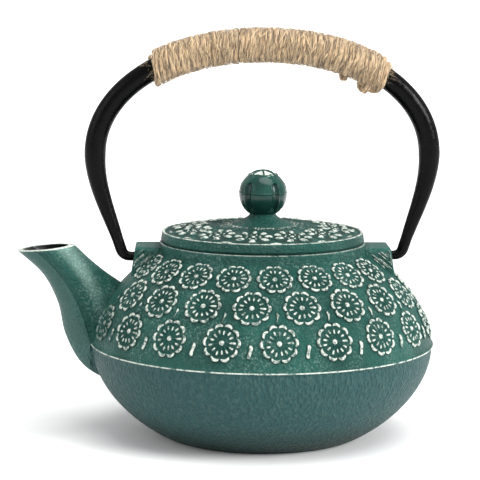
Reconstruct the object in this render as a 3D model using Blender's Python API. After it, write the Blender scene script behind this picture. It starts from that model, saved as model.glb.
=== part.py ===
"""A cast iron teapot: pot, lift-off lid, lift-out tea infuser and a swinging bail handle.

Metres, +Z up. The origin is the middle of the flat foot. The spout points along -X, and the
bail swings about an axis along X. Run with: blender --background --python part.py
"""

import math

import bmesh
import bpy
from mathutils import Vector
from mathutils.geometry import interpolate_bezier

MM = 0.001

# Clearances
GAP = 0.3 * MM  # between touching pieces
SWING_GAP = 0.4 * MM  # round a bail pin in its lug
DROP_IN_GAP = 1.0 * MM  # round the infuser's rim and under it

# Pot
FOOT_RADIUS = 46.7 * MM
BELLY_RADIUS = 82.6 * MM
BELLY_HEIGHT = 45.3 * MM  # the seam between the bowl and the shoulder
BOWL_POWER = 2.0
BOWL_FULLNESS = 0.85
SHOULDER_RISE = 42.7 * MM  # from the seam up to the neck's foot
SHOULDER_LEAN = 0.25  # straight share of the shoulder's curve
SHOULDER_POWER = 2.3
NECK_COVE = 2.0 * MM  # the neck's foot stands out this far from the neck
NECK_RISE = 6.0 * MM
POT_WALL = 3.6 * MM
FLOOR_THICKNESS = 4.0 * MM
MOUTH_RADIUS = 39.0 * MM
SEAT_WIDTH = 4.0 * MM  # the ledge in the mouth that carries the infuser
SEAT_DEPTH = 1.7 * MM
RIM_WIDTH = 6.8 * MM  # outside the ledge
NECK_CEILING = 8.0 * MM  # iron left under the rim beside the mouth

# Spout: its lower and upper edges from the root out to the mouth, in millimetres
# outwards from the belly's widest line and up from the pot's rim
SPOUT_LOWER = [(-12.6, -71), (3.9, -61), (12.6, -46), (16.3, -30), (23.4, -16), (35.8, -4.4)]
SPOUT_UPPER = [(-24.6, -28), (-16.6, -21.8), (-8.6, -16.3), (-2.6, -11.8), (2.9, -7), (8.4, -1.7)]
SPOUT_ROOT_WIDTH = 25.0 * MM
SPOUT_MOUTH_WIDTH = 22.0 * MM
SPOUT_WALL = 2.8 * MM
SPOUT_BORE_ROOT = 20.0 * MM

# Lugs that carry the bail
LUG_LENGTH = 11.5 * MM  # from the neck to the outer face, at the top
LUG_DRAFT = 0.16  # outward lean of the outer face
LUG_WIDTH = 22.0 * MM
LUG_TOP_DROP = 1.1 * MM  # top face below the pot's rim
LUG_DEPTH = 19.0 * MM
LUG_ROUND = 1.8 * MM
PIN_DROP = 7.0 * MM  # bail axis below the pot's rim
PIN_RADIUS = 2.2 * MM
PIN_ENGAGEMENT = 7.5 * MM

# Lid
LID_INSET = 0.5 * MM  # the lid's edge inside the neck's
LID_BAND = 4.9 * MM
LID_TAPER = 0.7 * MM
LIP_WIDTH = 1.1 * MM
LIP_HEIGHT = 0.8 * MM
DOME_RISE = 2.9 * MM  # from the lip to the inner disc
DISC_RADIUS = 22.5 * MM
DISC_STEP = 0.5 * MM
BOSS_FOOT_RADIUS = 13.0 * MM
BOSS_TOP_RADIUS = 5.9 * MM
BOSS_RISE = 4.9 * MM
LID_THICKNESS = 3.4 * MM
COLLAR_THICKNESS = 3.0 * MM
COLLAR_DEPTH = 6.0 * MM

# Knob and its screw
KNOB_RADIUS = 11.55 * MM
KNOB_FLAT_RADIUS = 5.95 * MM
SCREW_RADIUS = 2.0 * MM
SCREW_HOLE_GAP = 0.4 * MM
SCREW_BITE = 8.0 * MM
SCREW_HEAD_RADIUS = 4.0 * MM
SCREW_HEAD_HEIGHT = 2.4 * MM
SCREW_SLOT_WIDTH = 1.1 * MM
SCREW_SLOT_DEPTH = 1.2 * MM
WASHER_RADIUS = 6.0 * MM
WASHER_THICKNESS = 1.0 * MM

# Infuser
INFUSER_SHEET = 0.6 * MM
INFUSER_DEPTH = 43.0 * MM
INFUSER_RIM_THICKNESS = 1.0 * MM
INFUSER_SKIRT = 6.0 * MM
BAND_HEIGHT = 4.0 * MM
BAND_LIP = 3.5 * MM

# Bail handle: pins, legs leaning out, then an arch shaped as a superellipse
BAIL_STANDOFF = 8.6 * MM  # from the lug's outer face to the leg's centre, just over the foot bend
BAIL_FOOT_RISE = 8.2 * MM
BAIL_LEAN = 0.325
BAIL_FLARE = 10.6 * MM  # from there out to the widest point
BAIL_SHOULDER_RISE = 48.7 * MM  # pin axis to the widest point
BAIL_ARCH_RISE = 53.0 * MM
BAIL_ARCH_POWER = 2.1
BAIL_BEND_RADIUS = 5.0 * MM
BAIL_BAR_RADIUS = 5.15 * MM
BAIL_FOOT_RADIUS = 2.75 * MM

# Twine wrap on the arch
TWINE_THICKNESS = 2.95 * MM
WRAP_SPOUT_INSET = 26.0 * MM  # bare bar left between the wrap and the bail's widest point
WRAP_FAR_INSET = 20.5 * MM
KNOT_INSET = 8.0 * MM  # from the wrap's far end to the knot of the tied ends
KNOT_SIZE = Vector((5.0, 4.6, 4.2)) * MM
KNOT_SINK = 3.3 * MM  # how deep it sits in the wrap
LOOP_INSET = 21.3 * MM  # the small loop beside it
LOOP_SIZE = Vector((2.6, 2.4, 3.4)) * MM
LOOP_SINK = 2.0 * MM

ROUND_STEPS = 56
SMALL_STEPS = 20
BAR_SIDES = 12

NECK_RADIUS = MOUTH_RADIUS + SEAT_WIDTH + RIM_WIDTH
NECK_FOOT_RADIUS = NECK_RADIUS + NECK_COVE
LID_RADIUS = NECK_RADIUS - LID_INSET
LUG_REACH = NECK_RADIUS + LUG_LENGTH
BAIL_FOOT_X = LUG_REACH + BAIL_STANDOFF
BAIL_HALF_WIDTH = BAIL_FOOT_X + BAIL_FLARE
WRAP_RADIUS = BAIL_BAR_RADIUS + TWINE_THICKNESS
WRAP_SPOUT_END = WRAP_SPOUT_INSET - BAIL_HALF_WIDTH
WRAP_FAR_END = BAIL_HALF_WIDTH - WRAP_FAR_INSET
RIM_Z = BELLY_HEIGHT + SHOULDER_RISE + NECK_RISE
PIN_Z = RIM_Z - PIN_DROP
LID_Z = RIM_Z + GAP
SEAT_Z = RIM_Z - SEAT_DEPTH
INFUSER_RADIUS = MOUTH_RADIUS - DROP_IN_GAP - GAP - INFUSER_SHEET - 0.1 * MM
INFUSER_TOP_Z = SEAT_Z + GAP
INFUSER_BOTTOM_Z = INFUSER_TOP_Z - INFUSER_DEPTH
LID_TOP_Z = LID_Z + LID_BAND
DISC_Z = LID_TOP_Z + DOME_RISE
BOSS_Z = DISC_Z + BOSS_RISE


def make_material(name, colour, roughness, metallic):
    material = bpy.data.materials.new(name)
    material.use_nodes = True
    shader = material.node_tree.nodes["Principled BSDF"]
    shader.inputs["Base Color"].default_value = (*colour, 1)
    shader.inputs["Roughness"].default_value = roughness
    shader.inputs["Metallic"].default_value = metallic
    return material


def add_object(name, mesh_builder, material=None, parent=None):
    """The bmesh becomes an object. With a parent empty, its origin moves to that empty."""
    mesh = bpy.data.meshes.new(name)
    bmesh.ops.recalc_face_normals(mesh_builder, faces=mesh_builder.faces)
    if parent:
        bmesh.ops.translate(mesh_builder, verts=mesh_builder.verts, vec=-parent.location)
    mesh_builder.to_mesh(mesh)
    mesh_builder.free()
    mesh.shade_smooth()
    mesh.set_sharp_from_angle(angle=math.radians(35))
    shape = bpy.data.objects.new(name, mesh)
    bpy.context.scene.collection.objects.link(shape)
    if material:
        mesh.materials.append(material)
    if parent:
        shape.parent = parent
    return shape


def add_joint_empty(name, location):
    empty = bpy.data.objects.new(name, None)
    empty.location = location
    bpy.context.scene.collection.objects.link(empty)
    return empty


def combine(shape, other, operation):
    """Adds a Boolean with a helper object, which stays out of the result."""
    other.hide_render = True
    other.display_type = "WIRE"
    modifier = shape.modifiers.new(f"{operation.title()} {other.name}", "BOOLEAN")
    modifier.operation = operation
    modifier.object = other
    modifier.solver = "EXACT"


def bridge(mesh, rings):
    """Walls between neighbouring rings. A ring of one vertex closes to a point."""
    for first, second in zip(rings, rings[1:]):
        count = max(len(first), len(second))
        for i in range(count):
            j = (i + 1) % count
            corners = [first[i % len(first)], first[j % len(first)]]
            corners += [second[j % len(second)], second[i % len(second)]]
            mesh.faces.new(list(dict.fromkeys(corners)))


def turned(profile, steps=ROUND_STEPS, closed=False):
    """A profile of (radius, z) points turned about the Z axis. A closed profile makes a ring."""
    mesh = bmesh.new()
    rings = []
    for radius, z in profile:
        if radius <= 0:
            rings.append([mesh.verts.new((0, 0, z))])
            continue
        angles = [math.tau * i / steps for i in range(steps)]
        rings.append([mesh.verts.new((radius * math.cos(a), radius * math.sin(a), z)) for a in angles])
    if closed:
        rings.append(rings[0])
    bridge(mesh, rings)
    return mesh


def lofted(sections):
    """A solid through sections of equal point counts, with flat ends."""
    mesh = bmesh.new()
    rings = [[mesh.verts.new(point) for point in section] for section in sections]
    bridge(mesh, rings)
    mesh.faces.new(rings[0])
    mesh.faces.new(rings[-1])
    return mesh


def smooth_curve(points, count):
    """Evenly spread points on a Catmull-Rom curve through 2D points."""
    knots = [Vector((x, z)) for x, z in points]
    knots = [knots[0] * 2 - knots[1]] + knots + [knots[-1] * 2 - knots[-2]]
    spans = len(points) - 1
    curve = []
    for i in range(count):
        place = spans * i / (count - 1)
        span = min(int(place), spans - 1)
        t = place - span
        a, b, c, d = knots[span : span + 4]
        bend = (2 * a - 5 * b + 4 * c - d) * t**2 + (3 * b - a - 3 * c + d) * t**3
        curve.append(0.5 * (2 * b + (c - a) * t + bend))
    return curve


def sweep_section(centre, along, radius, sides=BAR_SIDES):
    """A circle round a centre in the XZ plane, square to the direction that the bar runs."""
    normal = Vector((along.z, 0, -along.x)).normalized()
    side = Vector((0, 1, 0))
    angles = [math.tau * i / sides for i in range(sides)]
    return [centre + radius * (math.cos(a) * normal + math.sin(a) * side) for a in angles]


def swept(path):
    """A bar along (centre, radius) stations in the XZ plane."""
    sections = []
    for i, (centre, radius) in enumerate(path):
        before = path[max(i - 1, 0)][0]
        after = path[min(i + 1, len(path) - 1)][0]
        sections.append(sweep_section(centre, (after - before).normalized(), radius))
    return lofted(sections)


def bowl_outline(steps=12):
    """Foot edge up to the belly seam."""
    points = []
    for i in range(steps + 1):
        share = (i / steps) ** 1.6
        swell = (1 - (1 - share) ** BOWL_POWER) ** BOWL_FULLNESS
        points.append((FOOT_RADIUS + (BELLY_RADIUS - FOOT_RADIUS) * swell, BELLY_HEIGHT * share))
    return points


def shoulder_outline(steps=9):
    """Belly seam up to the neck's foot."""
    points = []
    for i in range(steps + 1):
        share = i / steps
        fall = SHOULDER_LEAN * share + (1 - SHOULDER_LEAN) * share**SHOULDER_POWER
        radius = BELLY_RADIUS - (BELLY_RADIUS - NECK_FOOT_RADIUS) * fall
        points.append((radius, BELLY_HEIGHT + SHOULDER_RISE * share))
    return points


def pot_outline():
    cove = [(NECK_RADIUS + (NECK_FOOT_RADIUS - NECK_RADIUS) * 0.2, RIM_Z - NECK_RISE * 0.72)]
    neck = [(NECK_RADIUS, RIM_Z - NECK_RISE * 0.4), (NECK_RADIUS, RIM_Z)]
    return bowl_outline() + shoulder_outline()[1:] + cove + neck


def cavity_outline():
    """The pot's inside: its outline moved in by the wall, a flat floor and the mouth."""
    outline = bowl_outline(9) + shoulder_outline(7)[1:]
    ceiling_z = RIM_Z - NECK_CEILING
    inside = []
    for (r0, z0), (r, z), (r1, z1) in zip(outline, outline[1:], outline[2:]):
        length = math.hypot(r1 - r0, z1 - z0)
        radius = r - POT_WALL * (z1 - z0) / length
        height = z + POT_WALL * (r1 - r0) / length
        if FLOOR_THICKNESS + MM < height < ceiling_z - MM and radius > MOUTH_RADIUS:
            inside.append((radius, height))
    floor_radius = inside[0][0] - (inside[0][1] - FLOOR_THICKNESS)
    floor = [(0, FLOOR_THICKNESS), (floor_radius, FLOOR_THICKNESS)]
    mouth = [(MOUTH_RADIUS, ceiling_z), (MOUTH_RADIUS, SEAT_Z)]
    seat = [(MOUTH_RADIUS + SEAT_WIDTH, SEAT_Z), (MOUTH_RADIUS + SEAT_WIDTH, RIM_Z + MM)]
    return floor + inside + mouth + seat + [(0, RIM_Z + MM)]


def spout_section(low, high, half_width, sides=20):
    """An ellipse whose one diameter joins the lower and upper edges."""
    centre = (low + high) / 2
    half = (high - low) / 2
    section = []
    for i in range(sides):
        angle = math.tau * i / sides
        point = centre + half * math.cos(angle)
        section.append((point.x, half_width * math.sin(angle), point.y))
    return section


def spout_edges(count):
    """Pairs of (x, z) points on the lower and the upper edge."""
    edges = []
    for outline in (SPOUT_LOWER, SPOUT_UPPER):
        curve = [point * MM for point in smooth_curve(outline, count)]
        edges.append([Vector((-BELLY_RADIUS - out, RIM_Z + up)) for out, up in curve])
    return list(zip(*edges))


def spout_solid(stations=14):
    sections = []
    for i, (low, high) in enumerate(spout_edges(stations)):
        width = SPOUT_ROOT_WIDTH + (SPOUT_MOUTH_WIDTH - SPOUT_ROOT_WIDTH) * i / (stations - 1)
        sections.append(spout_section(low, high, width / 2))
    return lofted(sections)


def spout_bore(stations=10):
    """The channel from the pot's inside to the mouth, run past both ends."""
    sections = []
    for i, (low, high) in enumerate(spout_edges(stations)):
        share = i / (stations - 1)
        width = SPOUT_ROOT_WIDTH + (SPOUT_MOUTH_WIDTH - SPOUT_ROOT_WIDTH) * share
        centre = (low + high) / 2
        half = (high - low) / 2
        narrow = SPOUT_BORE_ROOT / 2 + (half.length - SPOUT_BORE_ROOT / 2) * share**2
        half = half.normalized() * min(half.length - SPOUT_WALL, narrow)
        sections.append(spout_section(centre - half, centre + half, width / 2 - SPOUT_WALL, 16))
    inward = Vector((14, 0, -2)) * MM
    outward = Vector((-2, 0, 3)) * MM
    sections = [[Vector(point) + inward for point in sections[0]]] + sections
    return lofted(sections + [[Vector(point) + outward for point in sections[-1]]])


def lug_solid(side):
    """A tapered block from inside the neck out to the lug's outer face, its free edges rounded."""
    top = RIM_Z - LUG_TOP_DROP
    bottom = top - LUG_DEPTH
    inner = (MOUTH_RADIUS + NECK_RADIUS) / 2
    outline = [(inner, top), (LUG_REACH, top), (LUG_REACH + LUG_DRAFT * LUG_DEPTH, bottom), (inner, bottom)]
    ends = [[(side * x, y, z) for x, z in outline] for y in (-LUG_WIDTH / 2, LUG_WIDTH / 2)]
    mesh = lofted(ends)
    rounded = []
    for edge in mesh.edges:
        middle = (edge.verts[0].co + edge.verts[1].co) / 2
        if abs(middle.x) > inner + MM and middle.z > bottom + MM:
            rounded.append(edge)
    bmesh.ops.bevel(mesh, geom=rounded, offset=LUG_ROUND, segments=3, profile=0.5, affect="EDGES")
    return mesh


def pin_hole(side):
    outer = LUG_REACH + LUG_DRAFT * LUG_DEPTH + MM
    deep = pin_tip_x() - GAP
    stations = [Vector((side * x, 0, PIN_Z)) for x in (deep, outer)]
    return swept([(station, PIN_RADIUS + SWING_GAP) for station in stations])


def pin_tip_x():
    return LUG_REACH + LUG_DRAFT * (PIN_DROP - LUG_TOP_DROP) - PIN_ENGAGEMENT


def make_pot(material):
    pot = add_object("pot_body", turned([(0, 0)] + pot_outline() + [(0, RIM_Z)]), material)
    combine(pot, add_object("spout_shape", spout_solid()), "UNION")
    for name, side in (("spout_lug_shape", -1), ("far_lug_shape", 1)):
        combine(pot, add_object(name, lug_solid(side)), "UNION")
    combine(pot, add_object("cavity_cutter", turned(cavity_outline())), "DIFFERENCE")
    combine(pot, add_object("spout_bore_cutter", spout_bore()), "DIFFERENCE")
    for name, side in (("spout_pin_hole", -1), ("far_pin_hole", 1)):
        combine(pot, add_object(name, pin_hole(side)), "DIFFERENCE")
    return pot


def lid_dome_outline():
    """The lid's top from the boss out to its outer band."""
    boss = []
    for i in range(6):
        angle = math.radians(90) * i / 5
        radius = BOSS_FOOT_RADIUS - (BOSS_FOOT_RADIUS - BOSS_TOP_RADIUS) * math.cos(angle)
        boss.append((radius, BOSS_Z - BOSS_RISE * math.sin(angle)))
    groove_radius = LID_RADIUS - LID_TAPER - LIP_WIDTH * 1.7
    groove_z = LID_TOP_Z - LIP_HEIGHT
    dome = []
    for i in range(5):
        share = i / 4
        radius = DISC_RADIUS + (groove_radius - DISC_RADIUS) * share
        fall = (DISC_Z - DISC_STEP - groove_z) * share**1.4
        dome.append((radius, DISC_Z - DISC_STEP - fall))
    lip_radius = LID_RADIUS - LID_TAPER
    lip = [(lip_radius - LIP_WIDTH, LID_TOP_Z), (lip_radius, LID_TOP_Z)]
    return boss + [(DISC_RADIUS - DISC_STEP, DISC_Z)] + dome + lip


def make_lid(material, lift):
    """A domed plate with the boss for the knob and a collar that keeps it centred."""
    collar = INFUSER_RADIUS - INFUSER_SHEET - DROP_IN_GAP
    underside = DISC_Z - LID_THICKNESS
    hole = SCREW_RADIUS + SCREW_HOLE_GAP
    inside = [(collar, LID_Z), (collar, LID_Z - COLLAR_DEPTH)]
    inside += [(collar - COLLAR_THICKNESS, LID_Z - COLLAR_DEPTH)]
    inside += [(collar - COLLAR_THICKNESS, underside - MM), (DISC_RADIUS, underside), (hole, underside)]
    profile = [(hole, BOSS_Z)] + lid_dome_outline() + [(LID_RADIUS, LID_Z)] + inside
    return add_object("lid", turned(profile, closed=True), material, lift)


def make_knob(material, lift):
    """A ball with a flat foot and a blind hole for its screw."""
    foot_z = BOSS_Z + GAP
    centre_z = foot_z + math.sqrt(KNOB_RADIUS**2 - KNOB_FLAT_RADIUS**2)
    low = math.asin((foot_z - centre_z) / KNOB_RADIUS)
    bore = SCREW_RADIUS + GAP
    bore_top = foot_z + SCREW_BITE + GAP
    profile = [(0, bore_top), (bore, bore_top), (bore, foot_z)]
    for i in range(13):
        angle = low + (math.radians(90) - low) * i / 12
        radius = KNOB_RADIUS * math.cos(angle) if i < 12 else 0
        profile.append((radius, centre_z + KNOB_RADIUS * math.sin(angle)))
    return add_object("lid_knob", turned(profile, steps=28), material, lift)


def make_knob_screw(material, lift):
    """A slotted screw that comes up through the lid into the knob."""
    washer_bottom = DISC_Z - LID_THICKNESS - GAP - WASHER_THICKNESS
    head_top = washer_bottom - GAP
    head_bottom = head_top - SCREW_HEAD_HEIGHT
    tip = BOSS_Z + GAP + SCREW_BITE
    profile = [(0, tip), (SCREW_RADIUS, tip), (SCREW_RADIUS, head_top), (SCREW_HEAD_RADIUS, head_top)]
    profile += [(SCREW_HEAD_RADIUS, head_bottom + SCREW_HEAD_HEIGHT * 0.4)]
    profile += [(SCREW_HEAD_RADIUS * 0.75, head_bottom), (0, head_bottom)]
    screw = add_object("knob_screw", turned(profile, steps=SMALL_STEPS), material, lift)
    half = SCREW_SLOT_WIDTH / 2
    reach = SCREW_HEAD_RADIUS + MM
    floor = head_bottom + SCREW_SLOT_DEPTH
    outline = [(-half, floor), (half, floor), (half, head_bottom - MM), (-half, head_bottom - MM)]
    slot = lofted([[(x, y, z) for y, z in outline] for x in (-reach, reach)])
    combine(screw, add_object("screw_slot_cutter", slot), "DIFFERENCE")
    return screw


def make_washer(material, lift):
    top = DISC_Z - LID_THICKNESS - GAP
    bottom = top - WASHER_THICKNESS
    hole = SCREW_RADIUS + SCREW_HOLE_GAP
    profile = [(hole, top), (WASHER_RADIUS, top), (WASHER_RADIUS, bottom), (hole, bottom)]
    return add_object("knob_washer", turned(profile, SMALL_STEPS, closed=True), material, lift)


def make_infuser(steel, mesh_material, lift):
    """A lift-out basket: rolled rim, mesh wall, mesh bottom and the band that joins them."""
    outer = INFUSER_RADIUS
    inner = outer - INFUSER_SHEET
    skirt_in = outer + GAP
    skirt_out = skirt_in + INFUSER_SHEET
    rim_top = INFUSER_TOP_Z + INFUSER_RIM_THICKNESS
    rim_edge = MOUTH_RADIUS + SEAT_WIDTH - GAP
    skirt_z = INFUSER_TOP_Z - INFUSER_SKIRT
    rim = [(inner, rim_top), (rim_edge, rim_top), (rim_edge, INFUSER_TOP_Z), (skirt_out, INFUSER_TOP_Z)]
    rim += [(skirt_out, skirt_z), (skirt_in, skirt_z), (skirt_in, INFUSER_TOP_Z), (inner, INFUSER_TOP_Z)]
    add_object("infuser_rim", turned(rim, closed=True), steel, lift)

    wall_top = INFUSER_TOP_Z - GAP
    wall_bottom = INFUSER_BOTTOM_Z + INFUSER_SHEET * 2 + GAP * 2
    wall = [(inner, wall_top), (outer, wall_top), (outer, wall_bottom), (inner, wall_bottom)]
    add_object("infuser_wall", turned(wall, closed=True), mesh_material, lift)

    plate_top = wall_bottom - GAP
    plate_bottom = plate_top - INFUSER_SHEET
    plate = [(0, plate_top), (outer, plate_top), (outer, plate_bottom), (0, plate_bottom)]
    add_object("infuser_bottom", turned(plate), mesh_material, lift)

    band_top = INFUSER_BOTTOM_Z + BAND_HEIGHT
    lip_in = outer - BAND_LIP
    lip_top = INFUSER_BOTTOM_Z + INFUSER_SHEET
    band = [(skirt_in, band_top), (skirt_out, band_top), (skirt_out, INFUSER_BOTTOM_Z)]
    band += [(lip_in, INFUSER_BOTTOM_Z), (lip_in, lip_top), (skirt_in, lip_top)]
    add_object("infuser_band", turned(band, closed=True), steel, lift)


def arch_point(angle):
    """A point on the bail's arch, by an angle that is 0 at the top and 90 degrees at its widest."""
    power = 2 / BAIL_ARCH_POWER
    x = BAIL_HALF_WIDTH * math.copysign(abs(math.sin(angle)) ** power, angle)
    z = PIN_Z + BAIL_SHOULDER_RISE + BAIL_ARCH_RISE * max(math.cos(angle), 0) ** power
    return Vector((x, 0, z))


def arch_angle(x):
    return math.copysign(math.asin((abs(x) / BAIL_HALF_WIDTH) ** (BAIL_ARCH_POWER / 2)), x)


def arch(from_x, to_x, stations):
    """Points along the arch, close together where it bends most."""
    first = arch_angle(from_x)
    last = arch_angle(to_x)
    return [arch_point(first + (last - first) * i / (stations - 1)) for i in range(stations)]


def leg():
    """(centre, radius) stations from the arch's widest point down to the pin's tip, on the +X side."""
    shoulder = Vector((BAIL_HALF_WIDTH, 0, PIN_Z + BAIL_SHOULDER_RISE))
    foot = Vector((BAIL_FOOT_X, 0, PIN_Z + BAIL_FOOT_RISE))
    lean = Vector((BAIL_LEAN, 0, 1)).normalized()
    pull = (shoulder - foot).length / 3
    curve = interpolate_bezier(shoulder, shoulder - Vector((0, 0, pull)), foot + lean * pull, foot, 8)
    stations = []
    for i, point in enumerate(curve):
        stations.append((point, BAIL_BAR_RADIUS + (BAIL_FOOT_RADIUS - BAIL_BAR_RADIUS) * i / 7))
    corner = foot - lean * (BAIL_FOOT_RISE / lean.z)
    turn = math.acos(-lean.x) if lean.x < 0 else math.radians(90) - math.asin(lean.x)
    run = BAIL_BEND_RADIUS * math.tan(turn / 2)
    start = corner + lean * run
    end = corner - Vector((run, 0, 0))
    for i in range(5):
        share = i / 4
        point = start.lerp(corner, share).lerp(corner.lerp(end, share), share)
        stations.append((point, BAIL_FOOT_RADIUS + (PIN_RADIUS - BAIL_FOOT_RADIUS) * share))
    stations.append((Vector((pin_tip_x(), 0, PIN_Z)), PIN_RADIUS))
    return stations


def bail_stations():
    far_leg = leg()
    spout_leg = [(Vector((-point.x, 0, point.z)), radius) for point, radius in far_leg]
    half = BAIL_HALF_WIDTH
    top = [(point, BAIL_BAR_RADIUS) for point in arch(-half, half, 33)]
    return spout_leg[::-1] + top[1:-1] + far_leg


def make_bail(material, pivot):
    return add_object("handle_bail", swept(bail_stations()), material, pivot)


def lump(inset, size, sink):
    """A squashed ball on the wrap's underside, at a distance from its far end."""
    mesh = bmesh.new()
    bmesh.ops.create_uvsphere(mesh, u_segments=14, v_segments=8, radius=1)
    bmesh.ops.scale(mesh, vec=size, verts=mesh.verts)
    on_arch = arch_point(arch_angle(WRAP_FAR_END - inset))
    lower = on_arch - Vector((0, 0, WRAP_RADIUS + size.z - sink))
    bmesh.ops.translate(mesh, vec=lower, verts=mesh.verts)
    return mesh


def make_wrap(material, pivot):
    """The outer shape of the wound twine, bored for the bar, with its knot and loop."""
    ends = arch(WRAP_SPOUT_END, WRAP_FAR_END, 27)
    wrap = add_object("twine_wrap", swept([(point, WRAP_RADIUS) for point in ends]), material, pivot)
    knot = lump(KNOT_INSET, KNOT_SIZE, KNOT_SINK)
    loop = lump(LOOP_INSET, LOOP_SIZE, LOOP_SINK)
    combine(wrap, add_object("knot_shape", knot, parent=pivot), "UNION")
    combine(wrap, add_object("loop_shape", loop, parent=pivot), "UNION")
    bore_path = arch(-BAIL_HALF_WIDTH, BAIL_HALF_WIDTH, 33)
    bore = swept([(point, BAIL_BAR_RADIUS + GAP) for point in bore_path])
    combine(wrap, add_object("wrap_bore_cutter", bore, parent=pivot), "DIFFERENCE")
    return wrap


def main():
    for old in list(bpy.data.objects):
        bpy.data.objects.remove(old)

    iron = make_material("enamelled_iron", (0.045, 0.12, 0.10), 0.5, 0.0)
    dark_iron = make_material("black_iron", (0.012, 0.012, 0.012), 0.45, 0.2)
    twine = make_material("natural_twine", (0.50, 0.38, 0.25), 0.9, 0.0)
    steel = make_material("stainless_steel", (0.62, 0.62, 0.60), 0.3, 1.0)
    steel_mesh = make_material("stainless_mesh", (0.50, 0.50, 0.49), 0.4, 1.0)

    infuser_lift = add_joint_empty("infuser_lift", (0, 0, SEAT_Z))
    lid_lift = add_joint_empty("lid_lift", (0, 0, RIM_Z))
    bail_pivot = add_joint_empty("bail_pivot", (0, 0, PIN_Z))

    make_pot(iron)
    make_lid(iron, lid_lift)
    make_knob(iron, lid_lift)
    make_knob_screw(steel, lid_lift)
    make_washer(steel, lid_lift)
    make_infuser(steel, steel_mesh, infuser_lift)
    make_bail(dark_iron, bail_pivot)
    make_wrap(twine, bail_pivot)


main()
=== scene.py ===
"""Looks for the cast iron teapot: relief, paint, enamel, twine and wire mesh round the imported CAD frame."""

import itertools
import math
import random

import bmesh
import bpy
import numpy as np
from mathutils import Matrix, Vector
from mathutils.bvhtree import BVHTree


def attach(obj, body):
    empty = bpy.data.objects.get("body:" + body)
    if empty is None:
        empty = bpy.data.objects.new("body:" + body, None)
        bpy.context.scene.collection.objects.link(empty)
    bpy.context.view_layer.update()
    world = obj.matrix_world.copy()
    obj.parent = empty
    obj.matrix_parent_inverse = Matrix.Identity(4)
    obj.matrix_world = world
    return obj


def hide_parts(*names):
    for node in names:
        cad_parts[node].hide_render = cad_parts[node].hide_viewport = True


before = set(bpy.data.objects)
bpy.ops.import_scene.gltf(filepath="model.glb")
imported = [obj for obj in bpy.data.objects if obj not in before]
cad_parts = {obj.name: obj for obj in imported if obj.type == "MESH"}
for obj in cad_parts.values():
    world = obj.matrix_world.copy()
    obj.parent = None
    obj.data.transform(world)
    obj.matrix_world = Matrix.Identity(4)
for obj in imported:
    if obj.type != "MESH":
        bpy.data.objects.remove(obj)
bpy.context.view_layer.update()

MM = 0.001
TAU = math.tau

# Main sizes in millimetres, nearly all of them the CAD model's own
BELLY_R, BELLY_Z, FOOT_R = 82.6, 45.3, 46.7
BOWL_FULLNESS = 0.85
RIDGE_HEIGHT, RIDGE_HALF = 0.75, 0.9
SHOULDER_RISE, SHOULDER_LEAN, SHOULDER_POWER = 42.7, 0.25, 2.3
NECK_R, NECK_FOOT_R, COVE_RISE, RIM_Z = 49.8, 51.8, 3.0, 94.0
MOUTH_R, SEAT_R, SEAT_Z, CEILING_Z = 39.0, 43.0, 92.3, 86.0
WALL, FLOOR = 3.6, 4.0
PIN_Z, PIN_R, PIN_HOLE_R, PIN_TIP_X = 87.0, 2.2, 2.6, 54.744
LUG_REACH, LUG_DRAFT, LUG_WIDTH, LUG_TOP_Z, LUG_DEPTH = 61.3, 0.16, 22.0, 92.3, 18.4
SPOUT_LOWER = [(-70, 23), (-86.5, 33), (-95.2, 48), (-98.9, 64), (-106, 78), (-118.4, 89.6)]
SPOUT_UPPER = [(-58, 66), (-66, 72.2), (-74, 77.7), (-80, 82.2), (-85.5, 87), (-91, 92.3)]
SPOUT_ROOT_WIDTH, SPOUT_MOUTH_WIDTH, SPOUT_WALL, SPOUT_BORE = 25.0, 22.0, 2.8, 20.0
CREASE_LEVEL, CREASE_STRENGTH = -0.4, 0.85
LID_Z, LID_TOP_Z, LID_R = 94.3, 99.2, 49.3
GROOVE_R, DISC_R, DOME_Z = 46.7, 22.5, 102.3
BOSS_Z, BOSS_TOP_R, BOSS_FOOT_R = 107.4, 6.3, 15.0
KNOB_R, KNOB_FOOT_R, KNOB_Z = 11.55, 6.8, 117.2
BAIL_HALF, BAIL_SHOULDER_Z, BAIL_ARCH, BAIL_POWER = 80.5, PIN_Z + 48.7, 53.0, 2.1
BAIL_FOOT_X, BAIL_FOOT_RISE, BAIL_LEAN, BAIL_BEND = 69.9, 8.2, 0.325, 5.0
BAR_R, BAR_FOOT_R = 5.15, 2.75
WRAP_FROM, WRAP_TO = -53.6, 59.4
INFUSER_R, INFUSER_SHEET = 37.0, 0.6
INFUSER_TOP, INFUSER_BOTTOM = 92.6, 49.6

# What only the looks have
SPOUT_RIB = [(-106, 88), (-94, 74), (-83.4, 49.5)]
BAIL_TILT = math.radians(0.35)
TWINE_R, TWINE_PITCH = 1.58, 2.62
TURN_STEPS, PLY_STEPS = 64, 31
KNOTS = (  # centre, size, twine radius, steps for each twist of its strands
    ((50.2, -0.8, 169.0), (3.9, 3.0, 2.0), 1.5, 20),
    ((38.6, -0.8, 174.0), (1.3, 1.0, 1.5), 0.95, 16),
)
STRAY_FIBRES, END_FIBRES, LYING_FIBRES = 2300, 1120, 2900
WIRE_R = 0.22


# ---------------------------------------------------------------- mesh tools


def into_scene(name, data):
    """A new object in the scene, which holds a mesh, a light or a camera."""
    made = bpy.data.objects.new(name, data)
    bpy.context.scene.collection.objects.link(made)
    return made


def new_piece(name, mesh, material, body, replaces=()):
    """A mesh becomes a piece that rides on a body."""
    piece = into_scene(name, mesh)
    for each in material if isinstance(material, (list, tuple)) else [material]:
        mesh.materials.append(each)
    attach(piece, body)
    if replaces:
        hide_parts(*replaces)


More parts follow.
